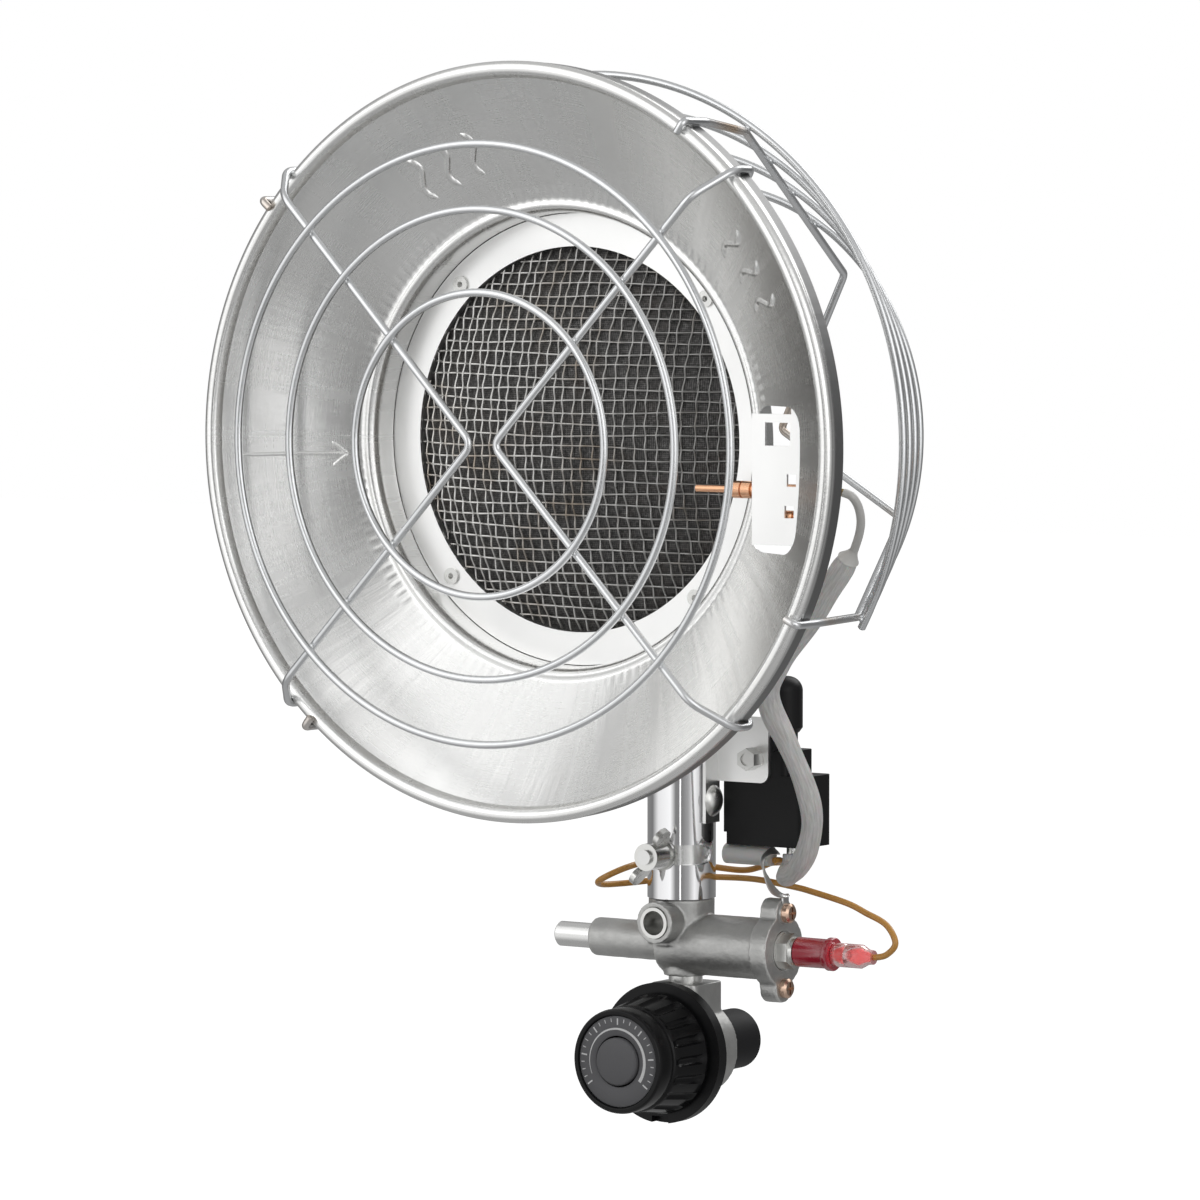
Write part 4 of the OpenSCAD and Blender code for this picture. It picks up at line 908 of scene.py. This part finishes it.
def make_knob():
    body = [(10.4, -45.8), (18.6, -45.8), (18.7, -47.0), (19.2, -47.8), (20.0, KNOB_FRONT), (20.8, -47.8),
            (21.3, -47.1), (KNOB_R, -46.0), (KNOB_R, -42.0), (KNOB_R, -38.6), (21.3, -38.1), (21.6, -37.6)]
    narrow, wide, skirt_front, skirt_back = 21.9, 24.7, -37.2, -18.9
    body += [(narrow + (wide - narrow) * k / 12, skirt_front + (skirt_back - skirt_front) * k / 12)
             for k in range(13)]
    body += [(24.9, -18.2), (24.6, KNOB_BACK), (12.0, KNOB_BACK), (12.0, -36.0), (10.4, -36.0)]
    knob = add_mesh("knob_body", *lathe(body, 288, ribbed, closed=True), NECK, math.radians(40))
    finish_piece(knob, "control_knob", GLOSS, "black_plastic", "knob")

    face = [(10.5, -45.9), (10.5, -47.0), (10.9, -47.25), (18.2, -47.25), (18.6, -47.0), (18.6, -45.9)]
    dial = add_mesh("knob_dial", *lathe(face, 96, closed=True), NECK, math.radians(40))
    finish_piece(dial, "control_knob", GREY, "grey_plastic")

    cap = [(0.01, -46.0), (0.01, -48.7), (8.9, -48.7), (9.5, -48.4), (9.8, -47.8), (9.8, -46.0)]
    centre = add_mesh("knob_centre", *lathe(cap, 96), NECK, math.radians(40))
    finish_piece(centre, "control_knob", GREY, "grey_plastic", "knob_cap")

    # plain marks round the dial, with an arc that widens towards the high end
    marks = Parts()
    for k in range(25):
        a = math.radians(215 - 10 * k * 250 / 240)
        inner, half = (15.0, 0.3) if k % 4 == 0 else (16.2, 0.17)
        out, across = Vector((math.cos(a), 0, math.sin(a))), Vector((-math.sin(a), 0, math.cos(a)))
        ends = ((inner, -half), (17.7, -half), (17.7, half), (inner, half))
        corners = [out * q + across * w for q, w in ends]
        marks.add([c + Vector((0, y, 0)) for y in (-47.30, -47.2) for c in corners],
                  [(0, 1, 2, 3), (7, 6, 5, 4), (0, 4, 5, 1), (1, 5, 6, 2), (2, 6, 7, 3), (3, 7, 4, 0)])
    arc_points, arc_faces = [], []
    for k in range(61):
        a = math.radians(205 - 4 * k)
        for q in (13.6 - 1.3 * k / 60, 13.8):
            arc_points.append(Vector((q * math.cos(a), -47.30, q * math.sin(a))))
        if k:
            arc_faces.append((2 * k - 2, 2 * k - 1, 2 * k + 1, 2 * k))
    marks.add(arc_points, arc_faces)
    finish_piece(marks.made("knob_marks", NECK, None), "control_knob", PRINT, "grey_plastic")


make_knob()


# ---------- connector ----------
def turned_x(profile):
    """(radius, x) pairs turned about the X axis."""
    points, faces = lathe(profile, 64)
    return [Vector((p.y, p.x, p.z)) for p in points], [tuple(reversed(f)) for f in faces]


def make_connector():
    socket = [(3.2, 57.1), (5.6, 57.1), (6.1, 57.6), (6.1, 58.6)]
    socket += [(6.0, 70.6), (6.3, 71.2), (6.8, 72.0), (6.8, 74.0), (6.4, 74.4), (3.2, 74.4)]
    red = add_mesh("connector_red", *turned_x(socket), VALVE, math.radians(40))
    finish_piece(red, "base", RED_DARK, "red_plastic", "connector_socket")
    plug = [(0.8, 74.5), (4.6, 74.5), (4.9, 75.0), (4.9, 80.0), (4.5, 80.6), (4.9, 81.2), (4.9, 87.2),
            (4.3, 88.4), (3.2, 90.4), (2.9, 92.9), (0.8, 92.9)]
    clear = add_mesh("connector_clear", *turned_x(plug), VALVE, math.radians(40))
    finish_piece(clear, "base", RED_CLEAR, "red_plastic", "connector_plug")


make_connector()


# ---------- stage ----------
FLOOR_Z, FLOOR_HALF = -330, 9000


def make_world():
    """White for the camera and through glass, and even grey light on matt surfaces.

    What metal mirrors isn't that white: it is soft boxes round the horizon, brighter and darker than each
    other, and plain greys above and below. They stand still when the camera moves.
    """
    world = bpy.data.worlds.new("studio")
    bpy.context.scene.world = world
    world.use_nodes = True
    tree = world.node_tree

    def maths(operation, one, two=0.0):
        node = tree.nodes.new("ShaderNodeMath")
        node.operation = operation
        for socket, value in zip(node.inputs, (one, two)):
            if isinstance(value, bpy.types.NodeSocket):
                tree.links.new(value, socket)
            else:
                socket.default_value = value
        return node.outputs[0]

    def ramp(value, stops):
        """stops are (place, grey)."""
        node = tree.nodes.new("ShaderNodeValToRGB")
        tree.links.new(value, node.inputs[0])
        while len(node.color_ramp.elements) < len(stops):
            node.color_ramp.elements.new(0.5)
        for element, (place, grey) in zip(node.color_ramp.elements, stops):
            element.position = place
            element.color = (grey, grey, grey, 1)
        return node.outputs[0]

    def blend(share, one, two):
        """one where the share is 1, and two where it is 0."""
        rest = maths("SUBTRACT", 1.0, share)
        return maths("ADD", maths("MULTIPLY", share, one), maths("MULTIPLY", rest, two))

    # the turn from the camera's own side, which is 0.5; straight behind the heater is 0 and 1
    where = tree.nodes.new("ShaderNodeSeparateXYZ")
    tree.links.new(tree.nodes.new("ShaderNodeTexCoord").outputs["Generated"], where.inputs[0])
    x, y, z = where.outputs
    turn = maths("DIVIDE", maths("ADD", maths("ARCTAN2", y, x), math.pi / 2 - AZIMUTH), 2 * math.pi)
    turn = maths("FRACT", maths("ADD", turn, 0.5))
    behind_left, left_box = [(0.0, 0.30), (0.18, 0.22)], [(0.26, 0.95), (0.39, 1.15)]
    camera_side = [(0.44, 0.26), (0.50, 0.24), (0.56, 0.42)]
    right_box, behind_right = [(0.62, 1.05), (0.70, 0.50)], [(0.80, 0.16), (1.0, 0.30)]
    horizon = ramp(turn, behind_left + left_box + camera_side + right_box + behind_right)
    # how far the look is up or down, and the light there: darker below than above
    overhead = ramp(maths("ABSOLUTE", z), [(0.30, 0.0), (0.70, 1.0)])
    floor_to_sky = ramp(maths("ADD", maths("MULTIPLY", z, 0.5), 0.5), [(0.40, 0.44), (0.60, 0.60)])
    studio = blend(overhead, floor_to_sky, horizon)

    path = tree.nodes.new("ShaderNodeLightPath").outputs
    seen = maths("MAXIMUM", path["Is Camera Ray"], path["Is Transmission Ray"])
    on_matt = 0.50
    level = blend(seen, 1.0, blend(path["Is Glossy Ray"], studio, on_matt))
    back = tree.nodes["Background"]
    tree.links.new(level, back.inputs["Strength"])
    back.inputs["Color"].default_value = (1, 1, 1, 1)


def make_floor():
    """A floor that the camera sees as white, apart from the heater's shadow on it."""
    m = Nodes("floor_white")
    path = m.new("ShaderNodeLightPath").outputs
    seen = m.math("MAXIMUM", path["Is Camera Ray"], path["Is Transmission Ray"])
    m.set(Base_Color=(0.30, 0.30, 0.30, 1), Roughness=1.0, Specular_IOR_Level=0.0,
          Emission_Color=(1, 1, 1, 1), Emission_Strength=m.math("MULTIPLY", seen, 0.90))
    corners = [(x * FLOOR_HALF, y * FLOOR_HALF, FLOOR_Z) for x, y in ((-1, -1), (1, -1), (1, 1), (-1, 1))]
    floor = add_mesh("floor", corners, [(0, 1, 2, 3)], smooth=None)
    floor.data.materials.append(m.material)
    floor.visible_glossy = False


def make_card():
    """A narrow bright card that only the metal sees, for a thin streak down the chrome."""
    width, height, glow = 170, 2400, 1.8
    at, facing = Vector((1150, -2150, 300)), Vector((-0.45, 1, 0)).normalized()
    m = Nodes("card_bright")
    m.set(Base_Color=(0, 0, 0, 1), Roughness=1.0, Specular_IOR_Level=0.0,
          Emission_Color=(glow, glow, glow, 1), Emission_Strength=1.0)
    side = facing.cross(Vector((0, 0, 1))).normalized() * width / 2
    up = Vector((0, 0, 1)) * height / 2
    card = add_mesh("card_bright", [at - side - up, at + side - up, at + side + up, at - side + up],
                    [(0, 1, 2, 3)], smooth=None)
    card.data.materials.append(m.material)
    card.visible_camera = card.visible_diffuse = False
    card.visible_shadow = card.visible_transmission = False


def lamp(name, at, size, power):
    """A square soft lamp, its size in metres, aimed at the middle of the heater."""
    data = bpy.data.lights.new(name, "AREA")
    data.shape, data.size, data.energy = "SQUARE", size, power
    obj = bpy.data.objects.new(name, data)
    bpy.context.scene.collection.objects.link(obj)
    obj.location = Vector(at) * MM
    aim = (Vector((0, -100, 200)) - Vector(at)).to_track_quat("-Z", "Y")
    obj.rotation_euler = aim.to_euler()


make_world()
make_floor()
make_card()
lamp("key", (-900, -1900, 1500), 2.6, 15)
lamp("fill", (2100, -1300, 900), 2.0, 12)
lamp("rim", (300, 1500, 1600), 1.5, 13)
bpy.context.scene.view_settings.view_transform = "Standard"
